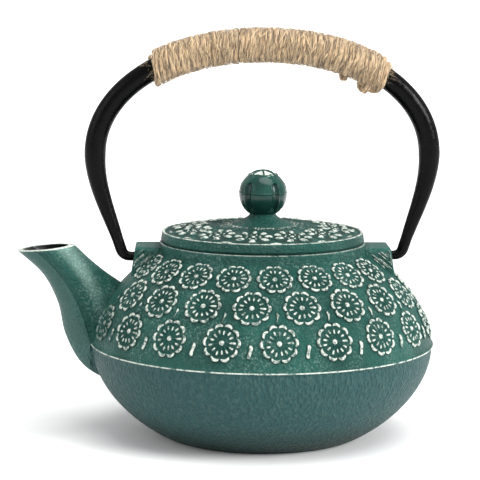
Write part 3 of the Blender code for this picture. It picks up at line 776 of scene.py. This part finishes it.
def blossom_shape(size, seed):
    """One blossom's relief: lobed rim, drops on thin spokes, and a bead, with painted shade inside the rim
    and a line of painted shade round it all.
    """
    chance = random.Random(seed)
    heights = [chance.uniform(0.85, 1.1) for _ in range(40)]
    shifts = [chance.uniform(-0.05, 0.05) for _ in range(40)]

    def shape(rho, phi, k):
        u = rho * size * np.cos(phi)
        v = rho * size * np.sin(phi) * 1.02
        lobe = np.abs(np.cos(LOBES / 2 * phi))
        crest = 0.785 + 0.135 * lobe**0.75
        wide = 0.050 + 0.038 * lobe
        rim = bell((rho - crest) / wide, 2.8)
        rim_height = (0.5 + 0.5 * lobe**0.6) * heights[k % 40]
        height = 0.06 - 0.4 * smooth_step(rho, 1.0, 1.08) + 1.2 * rim * rim_height
        paint = rim * smooth_step(lobe, 0.1, 0.5)
        raised = rim
        for j in range(DROPS):
            away = from_angle(phi, TAU * j / DROPS + shifts[(j * 3 + k) % 40] * 0.6)
            side, ahead = rho * np.sin(away), rho * np.cos(away)
            near = (np.abs(away) < 1.2) * 1.0
            reach = 0.535 + 0.045 * (((j * 7) % 5) - 2) / 2 + (0.08 if j == 0 else 0)
            length = 0.125 if j else 0.19
            taper = 0.048 + 0.10 * (ahead - 0.42)
            drop = bell((ahead - reach) / length, 4) * bell(side / taper) * near * (ahead > 0.3)
            spoke = bell(side / 0.032) * smooth_step(ahead, 0.14, 0.24) * smooth_step(-ahead, -0.7, -0.5)
            spoke = spoke * near
            height = height + 0.75 * drop + 0.5 * spoke * (1 - drop)
            paint = np.maximum(paint, drop * 0.95)
            raised = np.maximum(raised, np.maximum(drop, spoke * 0.8))
        bead = np.clip(1 - (rho / 0.135) ** 2, 0, 1) ** 0.5
        height = height + 0.95 * bead
        paint = np.maximum(paint, smooth_step(bead, 0.2, 0.6))
        # hollow is painted shade: inside the rim between the raised parts, and a dark line just outside the
        # rim.
        inner = smooth_step(crest - rho, 0.02, 0.12)
        outline = bell((rho - crest - wide * 1.35) / 0.05)
        hollow = np.maximum(0.35 * inner * (1 - raised) * (1 - bead), outline)
        return u, v, height, paint, hollow

    return shape


def round_shoulder(first):
    """The angles of a row of blossoms, and how many degrees each is from the lug away from the spout."""
    for k in range(BLOSSOMS_ROUND):
        theta = math.radians(first) + TAU * k / BLOSSOMS_ROUND
        yield theta, abs((math.degrees(theta) + 180) % 360 - 180)


def make_blossoms():
    """Three rows of blossoms on the shoulder, each row half a step on from the next."""
    surface = Turned(pot_profile())
    paint = iron_paint("blossom_paint", paint_layer=True)
    rho = np.concatenate([np.linspace(0.02, 0.2, 5), np.linspace(0.24, 1.08, 25)])
    chance = random.Random(5)
    for row, (z, size, first) in enumerate(BLOSSOM_ROWS):
        places = []
        for theta, away in round_shoulder(first):
            in_lug = row == 0 and not LUG_CLEAR <= away <= 165
            if away <= SPOUT_CLEAR and not in_lug:
                places.append((theta, surface.along(z), chance.uniform(-0.06, 0.06)))
        solid, layers = patches(surface, places, rho, angles(130), blossom_shape(size, row))
        add_piece(f"blossom_row_{row + 1}", solid, paint, "pot", slot="enamelled_iron", **layers)
    return surface, paint


def small_mark(u, v, rho, high):
    """A low cushion with a line of painted shade round it."""
    height = high * np.clip(1.0 - rho**2, 0, 1) ** 0.6 + 0.05 - 0.4 * smooth_step(rho, 1.02, 1.15)
    # Painted shade: the dark line round the cushion.
    outline = smooth_step(rho, 0.9, 1.0) * smooth_step(-rho, -1.15, -1.08)
    return u, v, height, outline


def bone_mark(rho, phi, k):
    v = rho * 3.7 * np.sin(phi)
    waist = 0.55 + 0.45 * np.minimum(np.abs(v) / 2.6, 1.0) ** 1.6
    u = rho * 1.55 * np.cos(phi) * waist + 0.45 * np.sin(v * 0.8 + 0.4 * (k % 3))
    u, v, height, outline = small_mark(u, v, rho, 1.15)
    return u, v, height, smooth_step(height, 0.45, 0.8), outline


def leaf_mark(rho, phi, k):
    v = rho * 3.4 * np.sin(phi)
    u = rho * (1.3 - 0.2 * v) * np.cos(phi) + 0.5 * np.cos(v * 0.9 + 0.3)
    u, v, height, outline = small_mark(u, v, rho, 0.95)
    painted = 0.8 * smooth_step(height, 0.4, 0.7) * smooth_step(-u + 0.35 * v, -0.5, 0.3)
    return u, v, height, painted, outline


def make_marks(surface, paint):
    """Slender upright marks between the blossoms."""
    rho = np.linspace(0.1, 1.16, 14)
    for name, z, first, shape in (
        ("mark_row_1", 54.6, -77.4, bone_mark),
        ("mark_row_2", 68.6, -86.8, leaf_mark),
    ):
        seen = [theta for theta, away in round_shoulder(first) if away < SPOUT_CLEAR]
        places = [(theta, surface.along(z), 0.0) for theta in seen]
        solid, layers = patches(surface, places, rho, angles(40), shape)
        add_piece(name, solid, paint, "pot", slot="enamelled_iron", **layers)


def make_lug_hatch(paint):
    """Thin ridges on the lugs' sides, where the relief runs out along the joint with the shoulder."""
    chance = random.Random(12)
    joint = np.array([[50.4, 88.6], [53.6, 86.4], [56.6, 83.9], [59.4, 81.6], [61.8, 79.6]])
    knots = np.arange(len(joint))
    steps = 16
    parts, paints = [], []
    for side, face, row in itertools.product((-1, 1), (-1, 1), range(15)):
        off = 0.3 + 0.6 * row
        start = chance.uniform(0.0, 0.3) + 0.02 * row
        end = min(start + chance.uniform(0.25, 0.7), 0.97)
        share = np.linspace(start, end, steps) * (len(joint) - 1)
        x = np.interp(share, knots, joint[:, 0]) + off * 0.62
        z = np.interp(share, knots, joint[:, 1]) + off * 0.78
        x = np.minimum(x, LUG_REACH + LUG_DRAFT * (LUG_TOP_Z - z) - 0.8)
        z = np.minimum(z, LUG_TOP_Z - 1.2)
        rough = np.array([chance.uniform(0.1, 0.26) for _ in range(steps)])
        parts.append(outward(*swept(xyz(side * x, face * (LUG_WIDTH / 2 - 0.02), z), rough, 8)))
        painted = chance.uniform(0.42, 0.8) - 0.02 * row + 0.9 * (rough - 0.18)
        paints.append(np.concatenate([np.repeat(painted, 8), painted[:1], painted[-1:]]))
    add_piece("lug_ridges", merge(parts), paint, "pot", slot="enamelled_iron", paint=np.concatenate(paints))


# ---------------------------------------------------------------- lid and knob


def boss_profile(steps=18):
    angle = np.linspace(0.02, math.pi / 2, steps)
    top = BOSS_Z + 0.4
    radius = BOSS_FOOT_R - (BOSS_FOOT_R - BOSS_TOP_R) * np.cos(angle) ** 2.8
    return np.stack([radius, top - (top - DOME_Z) * np.sin(angle)], -1)


def dome_profile(steps=40):
    """The lid's top from the boss's foot out to the groove inside the lip."""
    share = np.linspace(0, 1, steps)
    groove_z = LID_TOP_Z - 0.8
    radius = BOSS_FOOT_R + (GROOVE_R - BOSS_FOOT_R) * share
    return np.stack([radius, DOME_Z - (DOME_Z - groove_z) * share**1.5], -1)


def make_lid():
    lip = [(-2.0, -0.12), (-1.6, 0.0), (-1.0, 0.0), (-0.7, -0.25)]
    lip = [(LID_R + x, LID_TOP_Z + z) for x, z in lip]
    edge = [(-0.15, 1.1), (-0.3, 0.8), (-1.1, 0.55), (-1.2, 0.0)]
    edge = [(LID_R + x, LID_Z + z) for x, z in edge]
    collar, bore, ceiling = 35.4, 2.4, 98.7
    inside = [(collar, LID_Z), (collar, LID_Z - 5.6), (collar - 0.5, LID_Z - 6), (collar - 2.5, LID_Z - 6)]
    inside += [(collar - 3, LID_Z - 5.6), (collar - 3, ceiling - 1), (DISC_R, ceiling), (bore, ceiling)]
    profile = np.concatenate([[(bore, BOSS_Z + 0.4)], boss_profile(), dome_profile()[1:], lip, edge, inside])
    solid = outward(*turned(profile, 256, closed=True))
    paint = iron_paint("lid_paint", lines=lid_lines, rubbing=(0.0, 0.22))
    add_piece("lid_plate", solid, paint, "lid", ["lid"], "enamelled_iron", sharp=38)


def lid_blossom(rho, phi, k):
    """Eight fat drops round a ring of small dots and a bead."""
    size, drops = 10.2, 8
    u, v = rho * size * np.cos(phi), rho * size * np.sin(phi)
    height = 0.05 - 0.4 * smooth_step(rho, 0.97, 1.06) + np.zeros_like(u)
    paint = np.zeros_like(u)
    for j in range(drops):
        away = from_angle(phi, TAU * j / drops + 0.3 * k)
        side, ahead = rho * np.sin(away), rho * np.cos(away)
        near = (np.abs(away) < 1.2) * (ahead > 0.25)
        drop = bell((ahead - 0.70) / 0.2, 4) * bell(side / (0.11 + 0.12 * (ahead - 0.5)), 3.2) * near
        away = from_angle(phi, TAU * (j + 0.5) / drops + 0.3 * k)
        side, ahead = rho * np.sin(away), rho * np.cos(away)
        dot = bell(side / 0.06) * bell((ahead - 0.34) / 0.07) * (np.abs(away) < 1.2)
        height = height + 1.25 * drop + 0.8 * dot
        paint = np.maximum(paint, np.maximum(drop, dot * 0.9))
    bead = bell(rho / 0.13)
    # hollow is painted shade between the drops, inside the blossom's edge.
    hollow = (1 - smooth_step(paint, 0.05, 0.4)) * smooth_step(-rho, -1.02, -0.9) * (1 - bead)
    return u, v, height + 0.9 * bead, np.maximum(paint, bead * 0.9), hollow


def lid_dash(rho, phi, k):
    u, v = rho * 3.6 * np.cos(phi), rho * 0.85 * np.sin(phi)
    height = 0.7 * (1 - rho**2) - 0.1
    return u, v, height, smooth_step(height, 0.05, 0.3), 0.0 * height


def lid_beads(surface):
    """Rows of small flat beads from the boss outwards, smaller and less regular further out."""
    sides = 8
    angle = np.linspace(0, math.pi / 2, 4)
    dome, faces = turned(np.stack([0.5 * np.sin(angle), 0.5 * np.cos(angle)], -1), sides)
    dome = np.concatenate([dome, [[0, 0, -0.3]]])
    faces = faces + [pole_faces(len(dome) - 1, 2 * sides, sides, flip=True)]
    chance = random.Random(9)
    parts, paints = [], []
    for row in range(8):
        radius = 15.4 + 1.3 * row
        z = float(np.interp(-radius, -surface.profile[:, 0], surface.profile[:, 1]))
        count = int(TAU * radius / 1.4)
        for k in range(count):
            theta = TAU * (k + 0.5 * (row % 2) + chance.uniform(-0.1, 0.1)) / count
            size = 1.0 if row < 3 else chance.uniform(0.5, 1.0)
            middle = [radius * math.cos(theta), radius * math.sin(theta), z]
            parts.append((dome * [size, size, 0.5 * size] + middle, faces))
            paints.append(chance.uniform(0.42, 0.7) - 0.035 * row)
    return outward(*merge(parts)), np.repeat(paints, len(dome))


def make_lid_relief():
    """Blossoms round the lid, dashes near its lip and beads round its boss."""
    surface = Turned(dome_profile()[::-1])
    paint = iron_paint("lid_relief_paint", paint_layer=True)
    first, count = math.radians(20.5), 12
    for name, radius, shift, rho, sides, shape in (
        ("lid_blossoms", 35.4, 0.0, np.linspace(0.03, 1.06, 26), 112, lid_blossom),
        ("lid_dashes", 44.6, 0.5, np.linspace(0.15, 1.1, 8), 32, lid_dash),
    ):
        places = [(first + TAU * (k + shift) / count, surface.along_lid(radius), 0.0) for k in range(count)]
        solid, layers = patches(surface, places, rho, angles(sides), shape)
        add_piece(name, solid, paint, "lid", slot="enamelled_iron", **layers)
    solid, paints = lid_beads(surface)
    add_piece("lid_beads", solid, paint, "lid", slot="enamelled_iron", paint=paints)


def make_knob():
    """A ball with a parting line, five flutes with painted shade, and a blossom crown whose hollows hold a
    painted white reflection.
    """
    rows, columns, flutes, petals = 200, 320, 5, 6
    foot = -math.acos(KNOB_FOOT_R / KNOB_R)
    lat = np.linspace(math.radians(89.3), foot, rows)[:, None]
    lon = angles(columns)[None]
    off, shade = np.zeros((2, rows, columns))
    off += 0.24 * bell((lat - 0.07) / 0.024) - 0.12 * bell((lat - 0.03) / 0.018)
    for k in range(flutes):
        side = from_angle(lon, math.radians(-59.7 + 360 / flutes * k)) * np.cos(lat)
        end = np.clip((lat - 0.38) / 0.16, 0, 1)
        wide = 0.16 * np.sqrt(np.clip(1 - end**2, 0.0001, 1))
        groove = np.clip(1 - (side / wide) ** 2, 0, 1) ** 0.55
        groove = groove * (lat < 0.54) * smooth_step(lat, foot + 0.05, foot + 0.35)
        edge = bell((np.abs(side) - wide - 0.02) / 0.03) * (lat < 0.5) * (lat > foot + 0.3)
        off += 0.22 * edge - 1.5 * groove
        shade = np.maximum(shade, groove)
    out = np.cos(lat) * KNOB_R
    on_top = lat > 0
    crown = lon + math.radians(87)
    crest = 6.5 + 0.55 * np.abs(np.cos(petals / 2 * crown))
    between = (crown + math.radians(30)) % (TAU / petals) - TAU / petals / 2
    vein = bell(out * np.sin(between) / 0.5)
    hollow = smooth_step(crest - out, 0.6, 1.3) * smooth_step(out, 1.3, 2.0) * on_top
    off += 0.45 * bell((out - crest) / 0.42, 2.4) * on_top
    off += hollow * (-0.75 + 1.0 * vein) + 0.3 * smooth_step(-out, -1.7, -1.1) * on_top
    radius = KNOB_R + off
    level = radius * np.cos(lat)
    ball = xyz(level * np.cos(lon), level * np.sin(lon), KNOB_Z + radius * np.sin(lat))
    bore_r, bore_top = 2.3, BOSS_Z + 8.6
    levels = np.array([[BOSS_Z + 0.55], [bore_top]])
    bore = xyz(bore_r * np.cos(lon), bore_r * np.sin(lon), levels)
    rings = np.concatenate([ball, bore])
    solid = closed_tube(rings, [0, 0, KNOB_Z + KNOB_R + 0.3], [0, 0, bore_top])
    rest = np.zeros(2 * columns + 2)
    # paint is a painted white reflection in the crown's hollows, hollow is painted shade in the flutes.
    layers = {"paint": hollow * smooth_step(-vein, -0.45, -0.2), "hollow": shade}
    layers = {name: np.concatenate([values.reshape(-1), rest]) for name, values in layers.items()}
    solid = outward(*solid)
    add_piece("knob_ball", solid, knob_paint(), "lid", ["lid_knob"], "knob_iron", sharp=50, **layers)


# ---------------------------------------------------------------- handle


def arch_point(angle):
    power = 2 / BAIL_POWER
    x = BAIL_HALF * np.sign(angle) * np.abs(np.sin(angle)) ** power
    z = BAIL_SHOULDER_Z + BAIL_ARCH * np.maximum(np.cos(angle), 0) ** power
    return xyz(x, 0.0, z)


def arch_angle(x):
    return math.copysign(math.asin((abs(x) / BAIL_HALF) ** (BAIL_POWER / 2)), x)


def even(points, count):
    """The same line with evenly spread points."""
    step = np.concatenate([[0], np.cumsum(np.linalg.norm(np.diff(points, axis=0), axis=1))])
    at = np.linspace(0, step[-1], count)
    return np.stack([np.interp(at, step, points[:, k]) for k in range(points.shape[1])], -1)


def leg_line():
    """(x, y, z, radius) from the widest point down to the pin's tip, on the +X side."""
    shoulder = np.array([BAIL_HALF, 0, BAIL_SHOULDER_Z])
    foot = np.array([BAIL_FOOT_X, 0, PIN_Z + BAIL_FOOT_RISE])
    lean = unit(np.array([BAIL_LEAN, 0, 1.0]))
    pull = np.linalg.norm(shoulder - foot) / 3
    t = np.linspace(0, 1, 40)[:, None]
    knots = (shoulder, shoulder - [0, 0, pull], foot + lean * pull, foot)
    weights = ((1 - t) ** 3, 3 * (1 - t) ** 2 * t, 3 * (1 - t) * t**2, t**3)
    curve = sum(weight * knot for weight, knot in zip(weights, knots))
    curve = np.concatenate([curve, BAR_R + (BAR_FOOT_R - BAR_R) * t], -1)
    corner = foot - lean * (BAIL_FOOT_RISE / lean[2])
    turn = math.radians(90) - math.asin(lean[0])
    run = BAIL_BEND * math.tan(turn / 2)
    start, end = corner + lean * run, corner - [run, 0, 0]
    share = np.linspace(0, 1, 16)[:, None]
    bend = (1 - share) ** 2 * start + 2 * share * (1 - share) * corner + share**2 * end
    bend = np.concatenate([bend, BAR_FOOT_R + (PIN_R - BAR_FOOT_R) * share], -1)
    pin = [[PIN_TIP_X + 0.4, 0, PIN_Z, PIN_R], [PIN_TIP_X, 0, PIN_Z, PIN_R - 0.4]]
    return np.concatenate([curve, bend, pin])


def make_bail():
    leg = leg_line()
    mirrored = leg * [-1, 1, 1, 1]
    top = arch_point(np.linspace(-math.pi / 2, math.pi / 2, 181))
    top = np.concatenate([top, np.full((len(top), 1), BAR_R)], -1)
    line = np.concatenate([mirrored[::-1], top[1:-1], leg])
    line = np.concatenate([line[:2], even(line[2:-2], 420), line[-2:]])
    points, faces = swept(line[:, :3], line[:, 3], 40)
    solid = outward(tilted(points), faces)
    add_piece("bail_bar", solid, black_lacquer(), "handle", ["handle_bail"], "black_iron")


def helix_frame():
    """Evenly spread points, directions and normals along the wrapped part of the arch, and its length."""
    line = arch_point(np.linspace(arch_angle(WRAP_FROM), arch_angle(WRAP_TO), 400))
    line = even(line, 1600)
    tangent = unit(np.gradient(line, axis=0))
    normal = xyz(-tangent[:, 2], tangent[:, 1], tangent[:, 0])
    return line, tangent, normal, np.linalg.norm(np.diff(line, axis=0), axis=1).sum()


def off_bar(normal, angle):
    """The direction away from the bar at an angle round it."""
    angle = np.asarray(angle)[..., None]
    return normal * np.cos(angle) + np.array([0, 1.0, 0]) * np.sin(angle)


def wobble(count, step, seed):
    """A smooth random line with values about -1 to 1."""
    knots = np.random.default_rng(seed).uniform(-1, 1, int(count / step) + 4)
    place = np.arange(count) / step
    low = place.astype(int)
    share = smooth_step(place - low, 0, 1)
    return knots[low] * (1 - share) + knots[low + 1] * share


def laid_twine(path, radius, run, ply_steps, sides, along, swell=1.0):
    """A tube of two strands laid round each other, and each point's place on them.

    Its place is how far along and how far round the twine it is, and how deep between the strands.
    """
    turn = np.arange(len(path))[:, None] * TAU / ply_steps
    angle = angles(sides)[None]
    wave = np.cos(2 * (angle - turn))
    solid = swept(path, radius * swell, sides, along, lobes=1 + 0.12 * wave)
    strand = xyz(run[:, None], angle * radius, smooth_step(-wave, 0.2, 1.0)).reshape(-1, 3)
    return solid, np.concatenate([strand, strand[:1], strand[-1:]])


def lean_of(run, length):
    """How far the turns lean at each end of the wrap, where they stand more upright than the bar does."""
    return 0.34 * np.exp(-run / 24) - 0.34 * np.exp(-(length - run) / 24)


def wound_twine():
    """The turns of twine side by side on the bar, a little uneven."""
    line, tangent, normal, length = helix_frame()
    count = int((length - 2 * TWINE_R) / TWINE_PITCH * TURN_STEPS)
    where = np.linspace(TWINE_R, length - TWINE_R, count) / length
    where = np.clip(where + 0.0016 * wobble(count, TURN_STEPS * 0.7, 3), 0.004, 0.996)
    index = where * (len(line) - 1)
    spots = np.arange(len(line))
    found = ([np.interp(index, spots, row) for row in each.T] for each in (line, tangent, normal))
    middle, ahead, up = (xyz(*rows) for rows in found)
    angle = np.arange(count) * TAU / TURN_STEPS + 0.6
    lift = BAR_R + TWINE_R * 0.98 + 0.22 * wobble(count, TURN_STEPS * 0.45, 7) + 0.1
    around = off_bar(up, angle)
    lean = lean_of(where * length, length) * lift * np.cos(angle)
    path = middle + around * lift[:, None] + ahead * lean[:, None]
    run = np.arange(count) * (TAU * (BAR_R + TWINE_R) / TURN_STEPS)
    return laid_twine(path, TWINE_R, run, PLY_STEPS, 14, around[0], swell=1 + 0.1 * wobble(count, 23, 11))


def knot_line(centre, size, count=260):
    """A three-lobed knot, drawn small so that its turns lie on each other."""
    t = np.linspace(0, TAU * 0.97, count)
    x = (np.sin(t) + 2 * np.sin(2 * t)) / 3
    y = (np.cos(t) - 2 * np.cos(2 * t)) / 3
    return xyz(x, y, -np.sin(3 * t)) * size + centre


def make_wrap():
    made = [wound_twine()]
    for centre, size, radius, ply_steps in KNOTS:
        path = knot_line(np.array(centre), size)
        run = np.linalg.norm(np.gradient(path, axis=0), axis=1).cumsum() + 300
        made.append(laid_twine(path, radius, run, ply_steps, 12, (0.1, 0.2, 1.0)))
    solids, strands = zip(*made)
    points, faces = merge(solids)
    solid, strand = (tilted(points), faces), np.concatenate(strands)
    paint = jute("jute", (0.045, 0.025, 0.012, 1), (0.58, 0.40, 0.22, 1))
    add_piece("twine", solid, paint, "handle", ["twine_wrap"], "natural_twine", strand=strand)


def stray_fibre(chance, number, line, tangent, normal):
    """A thin fibre that stands off the twine, at one of its two ends or anywhere along it."""
    last = len(line) - 1
    kind = number % 12 if number < END_FIBRES else 7
    at_start, at_finish = chance.integers(0, 30), last - chance.integers(0, 30)
    k = {0: at_start, 1: at_finish}.get(kind, chance.integers(4, last - 4))
    at_end = (k < 31) * -1 + (k > last - 31) * 1
    out = off_bar(normal[k], chance.uniform(0, TAU))
    start = line[k] + out * (BAR_R + (0.6 if at_end else 2) * TWINE_R * chance.uniform(0.6, 1.0))
    lean = chance.normal(0, 1, 3)
    lean -= out * (lean @ out) * 0.6
    reach = min(chance.gamma(2.0, 0.85) + 0.5, 8.5)
    way = unit(out * chance.uniform(0.15, 0.8) + lean * 0.6 + tangent[k] * at_end * 1.6)
    t = np.linspace(0, 1, 8)[:, None]
    path = start + t * way * reach + t**2 * chance.normal(0, 0.45, 3) * reach * 0.6
    points, faces = swept(path, 0.042 * (1 - 0.5 * t[:, 0]), 3, (0.3, 0.4, 0.5))
    return (points, faces), xyz(points[:, 0] * 2, points[:, 2], points[:, 1] * 0)


def lying_fibre(chance, line, tangent, normal, length):
    """A thicker fibre that lies on the turns and follows them part of the way round."""
    last = len(line) - 1
    k = chance.integers(36, last - 36)
    angle = chance.uniform(0, TAU)
    long = chance.uniform(2.0, 6.0)
    t = np.linspace(-0.5, 0.5, 7)
    reach = BAR_R + 2 * TWINE_R - 0.05 + 0.3 * chance.random() + chance.uniform(-0.2, 0.7) * t**2
    turn = angle + t * long / reach
    slide = t * long * chance.normal(0.1, 0.26) + chance.normal(0, 0.5) * t**2
    slide = slide + lean_of(length * k / last, length) * reach * np.cos(turn)
    out = off_bar(normal[k], turn)
    path = line[k] + tangent[k] * slide[:, None] + out * reach[:, None]
    points, faces = swept(path, chance.uniform(0.07, 0.19) * (1 - 1.2 * t**2), 3, out[0])
    return (points, faces), np.tile([chance.uniform(0, 900), chance.uniform(0, 900), 0.0], (len(points), 1))


def make_fibres():
    """The twine's loose hairs."""
    line, tangent, normal, length = helix_frame()
    chance = np.random.default_rng(21)
    made = [stray_fibre(chance, number, line, tangent, normal) for number in range(STRAY_FIBRES)]
    made += [lying_fibre(chance, line, tangent, normal, length) for _ in range(LYING_FIBRES)]
    solids, strands = zip(*made)
    points, faces = merge(solids)
    solid, strand = (tilted(points), faces), np.concatenate(strands)
    paint = jute("jute_fibre", (0.055, 0.030, 0.014, 1), (0.82, 0.62, 0.37, 1))
    add_piece("twine_fibres", solid, paint, "handle", slot="natural_twine", strand=strand)


# ---------------------------------------------------------------- infuser


def ring_wire(radius, z, thick, steps=150, sides=5):
    angle, turn = angles(steps)[:, None], angles(sides)
    out = radius + thick * np.cos(turn)
    points = xyz(out * np.cos(angle), out * np.sin(angle), z + thick * np.sin(turn))
    return points.reshape(-1, 3), [grid_faces(steps, sides, closed_rows=True)[:, ::-1]]


def wall_wires(radius, low, high, thick):
    """Rings in and out of upright wires, as woven."""
    rows, columns = 30, 160
    step = (high - low - 0.6) / (rows - 1)
    parts = [ring_wire(radius + 0.12 * (-1) ** k, low + 0.3 + step * k, thick) for k in range(rows)]
    levels = np.array([low, (low + high) / 2, high])
    for theta in angles(columns):
        line = xyz(radius * math.cos(theta), radius * math.sin(theta), levels)
        parts.append(swept(line, thick, 4, (1.0, 0.3, 0)))
    return merge(parts)


def floor_wires(radius, z, thick, spacing=1.45):
    """Two layers of straight wires across a disc."""
    parts = []
    for k in range(-24, 25):
        at = k * spacing
        half = math.sqrt(max(radius**2 - at**2, 0))
        if half >= 3:
            along = np.array([-half, 0, half])
            parts.append(swept(xyz(along, at, z + 0.12), thick, 5, (0.0, 0.0, 1.0)))
            parts.append(swept(xyz(at, along, z - 0.12), thick, 5, (0.0, 0.0, 1.0)))
    return merge(parts)


def make_infuser():
    steel = brushed_steel("infuser_steel")
    wire_steel = brushed_steel("infuser_wire", dark=True)
    inner, outer = INFUSER_R - INFUSER_SHEET, INFUSER_R + 0.9
    low, high, top, edge = INFUSER_BOTTOM, INFUSER_TOP, INFUSER_TOP + 1.0, SEAT_R - 0.3
    rim = [(inner, top - 0.25), (inner + 0.25, top), (edge - 0.3, top), (edge, top - 0.3), (edge, high + 0.3)]
    rim += [(edge - 0.3, high), (outer + 0.4, high), (outer, high - 0.4), (outer, high - 6)]
    rim += [(outer - 0.6, high - 6), (outer - 0.6, high), (inner, high)]
    foot_r = 33.5
    foot = [(outer - 0.6, low + 4), (outer, low + 4), (outer, low + 0.6), (outer - 0.3, low), (foot_r, low)]
    foot += [(foot_r, low + 0.6), (outer - 0.6, low + 0.6)]
    rings = (("infuser_ring", rim, "infuser_rim"), ("infuser_foot_ring", foot, "infuser_band"))
    for name, outline, node in rings:
        solid = outward(*turned(outline, 160, closed=True))
        add_piece(name, solid, steel, "infuser", [node], "stainless_steel", sharp=40)
    for name, solid, node in (
        ("infuser_mesh", wall_wires(INFUSER_R - 0.3, low + 1.8, high - 0.3, WIRE_R), "infuser_wall"),
        ("infuser_floor_mesh", floor_wires(INFUSER_R - 0.4, low + 1.2, WIRE_R), "infuser_bottom"),
    ):
        add_piece(name, solid, wire_steel, "infuser", [node], "stainless_mesh")
    for node in ("knob_screw", "knob_washer"):
        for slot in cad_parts[node].material_slots:
            slot.material = steel


# ---------------------------------------------------------------- stage


def make_floor():
    reach = 60.0
    corners = [(-reach, -reach, 0), (reach, -reach, 0), (reach, reach, 0), (-reach, reach, 0)]
    mesh = bpy.data.meshes.new("floor")
    mesh.from_pydata(corners, [], [(0, 1, 2, 3)])
    mesh.materials.append(floor_paper())
    floor = into_scene("floor", mesh)


def add_sun(name, toward, strength, softness):
    """A wide, soft, distant light. toward points from the teapot to the light."""
    light = bpy.data.lights.new(name, "SUN")
    light.energy, light.angle = strength, math.radians(softness)
    into_scene(name, light).rotation_euler = Vector(toward).to_track_quat("Z", "Y").to_euler()


def make_lights():
    world = bpy.data.worlds.new("studio")
    bpy.context.scene.world = world
    world.use_nodes = True
    world.node_tree.nodes["Background"].inputs["Color"].default_value = (1, 1, 1, 1)
    world.node_tree.nodes["Background"].inputs["Strength"].default_value = 0.64
    add_sun("key_light", (0.18, -0.22, 1.0), 2.2, 50)
    add_sun("right_light", (0.80, -0.46, 0.42), 3.3, 28)
    add_sun("left_light", (-0.88, -0.32, 0.42), 0.65, 40)
    bpy.context.scene.view_settings.view_transform = "Standard"


def make_camera():
    """At the photograph's angle: almost level, with the spout turned a little towards the viewer."""
    distance, elevation, azimuth, roll = 1.0, math.radians(7.84), math.radians(-2.0), math.radians(0.4)
    level = math.cos(elevation)
    back = Vector((math.sin(azimuth) * level, -math.cos(azimuth) * level, math.sin(elevation)))
    right = Vector((math.cos(azimuth), math.sin(azimuth), 0))
    up = back.cross(right)
    target = Vector((0, 0, 0.09)) - right * 0.01088 + up * 0.00448
    camera = bpy.data.cameras.new("camera")
    camera.sensor_width, camera.lens = 36.0, 154.8
    eye = into_scene("camera", camera)
    turn = Matrix((right, up, back)).transposed() @ Matrix.Rotation(roll, 3, "Z")
    eye.matrix_world = Matrix.Translation(target + back * distance) @ turn.to_4x4()
    bpy.context.scene.camera = eye


make_camera()
make_floor()
make_lights()
make_pot()
shoulder, blossom_paint = make_blossoms()
make_marks(shoulder, blossom_paint)
make_lug_hatch(blossom_paint)
make_lid()
make_lid_relief()
make_knob()
make_bail()
make_wrap()
make_fibres()
make_infuser()
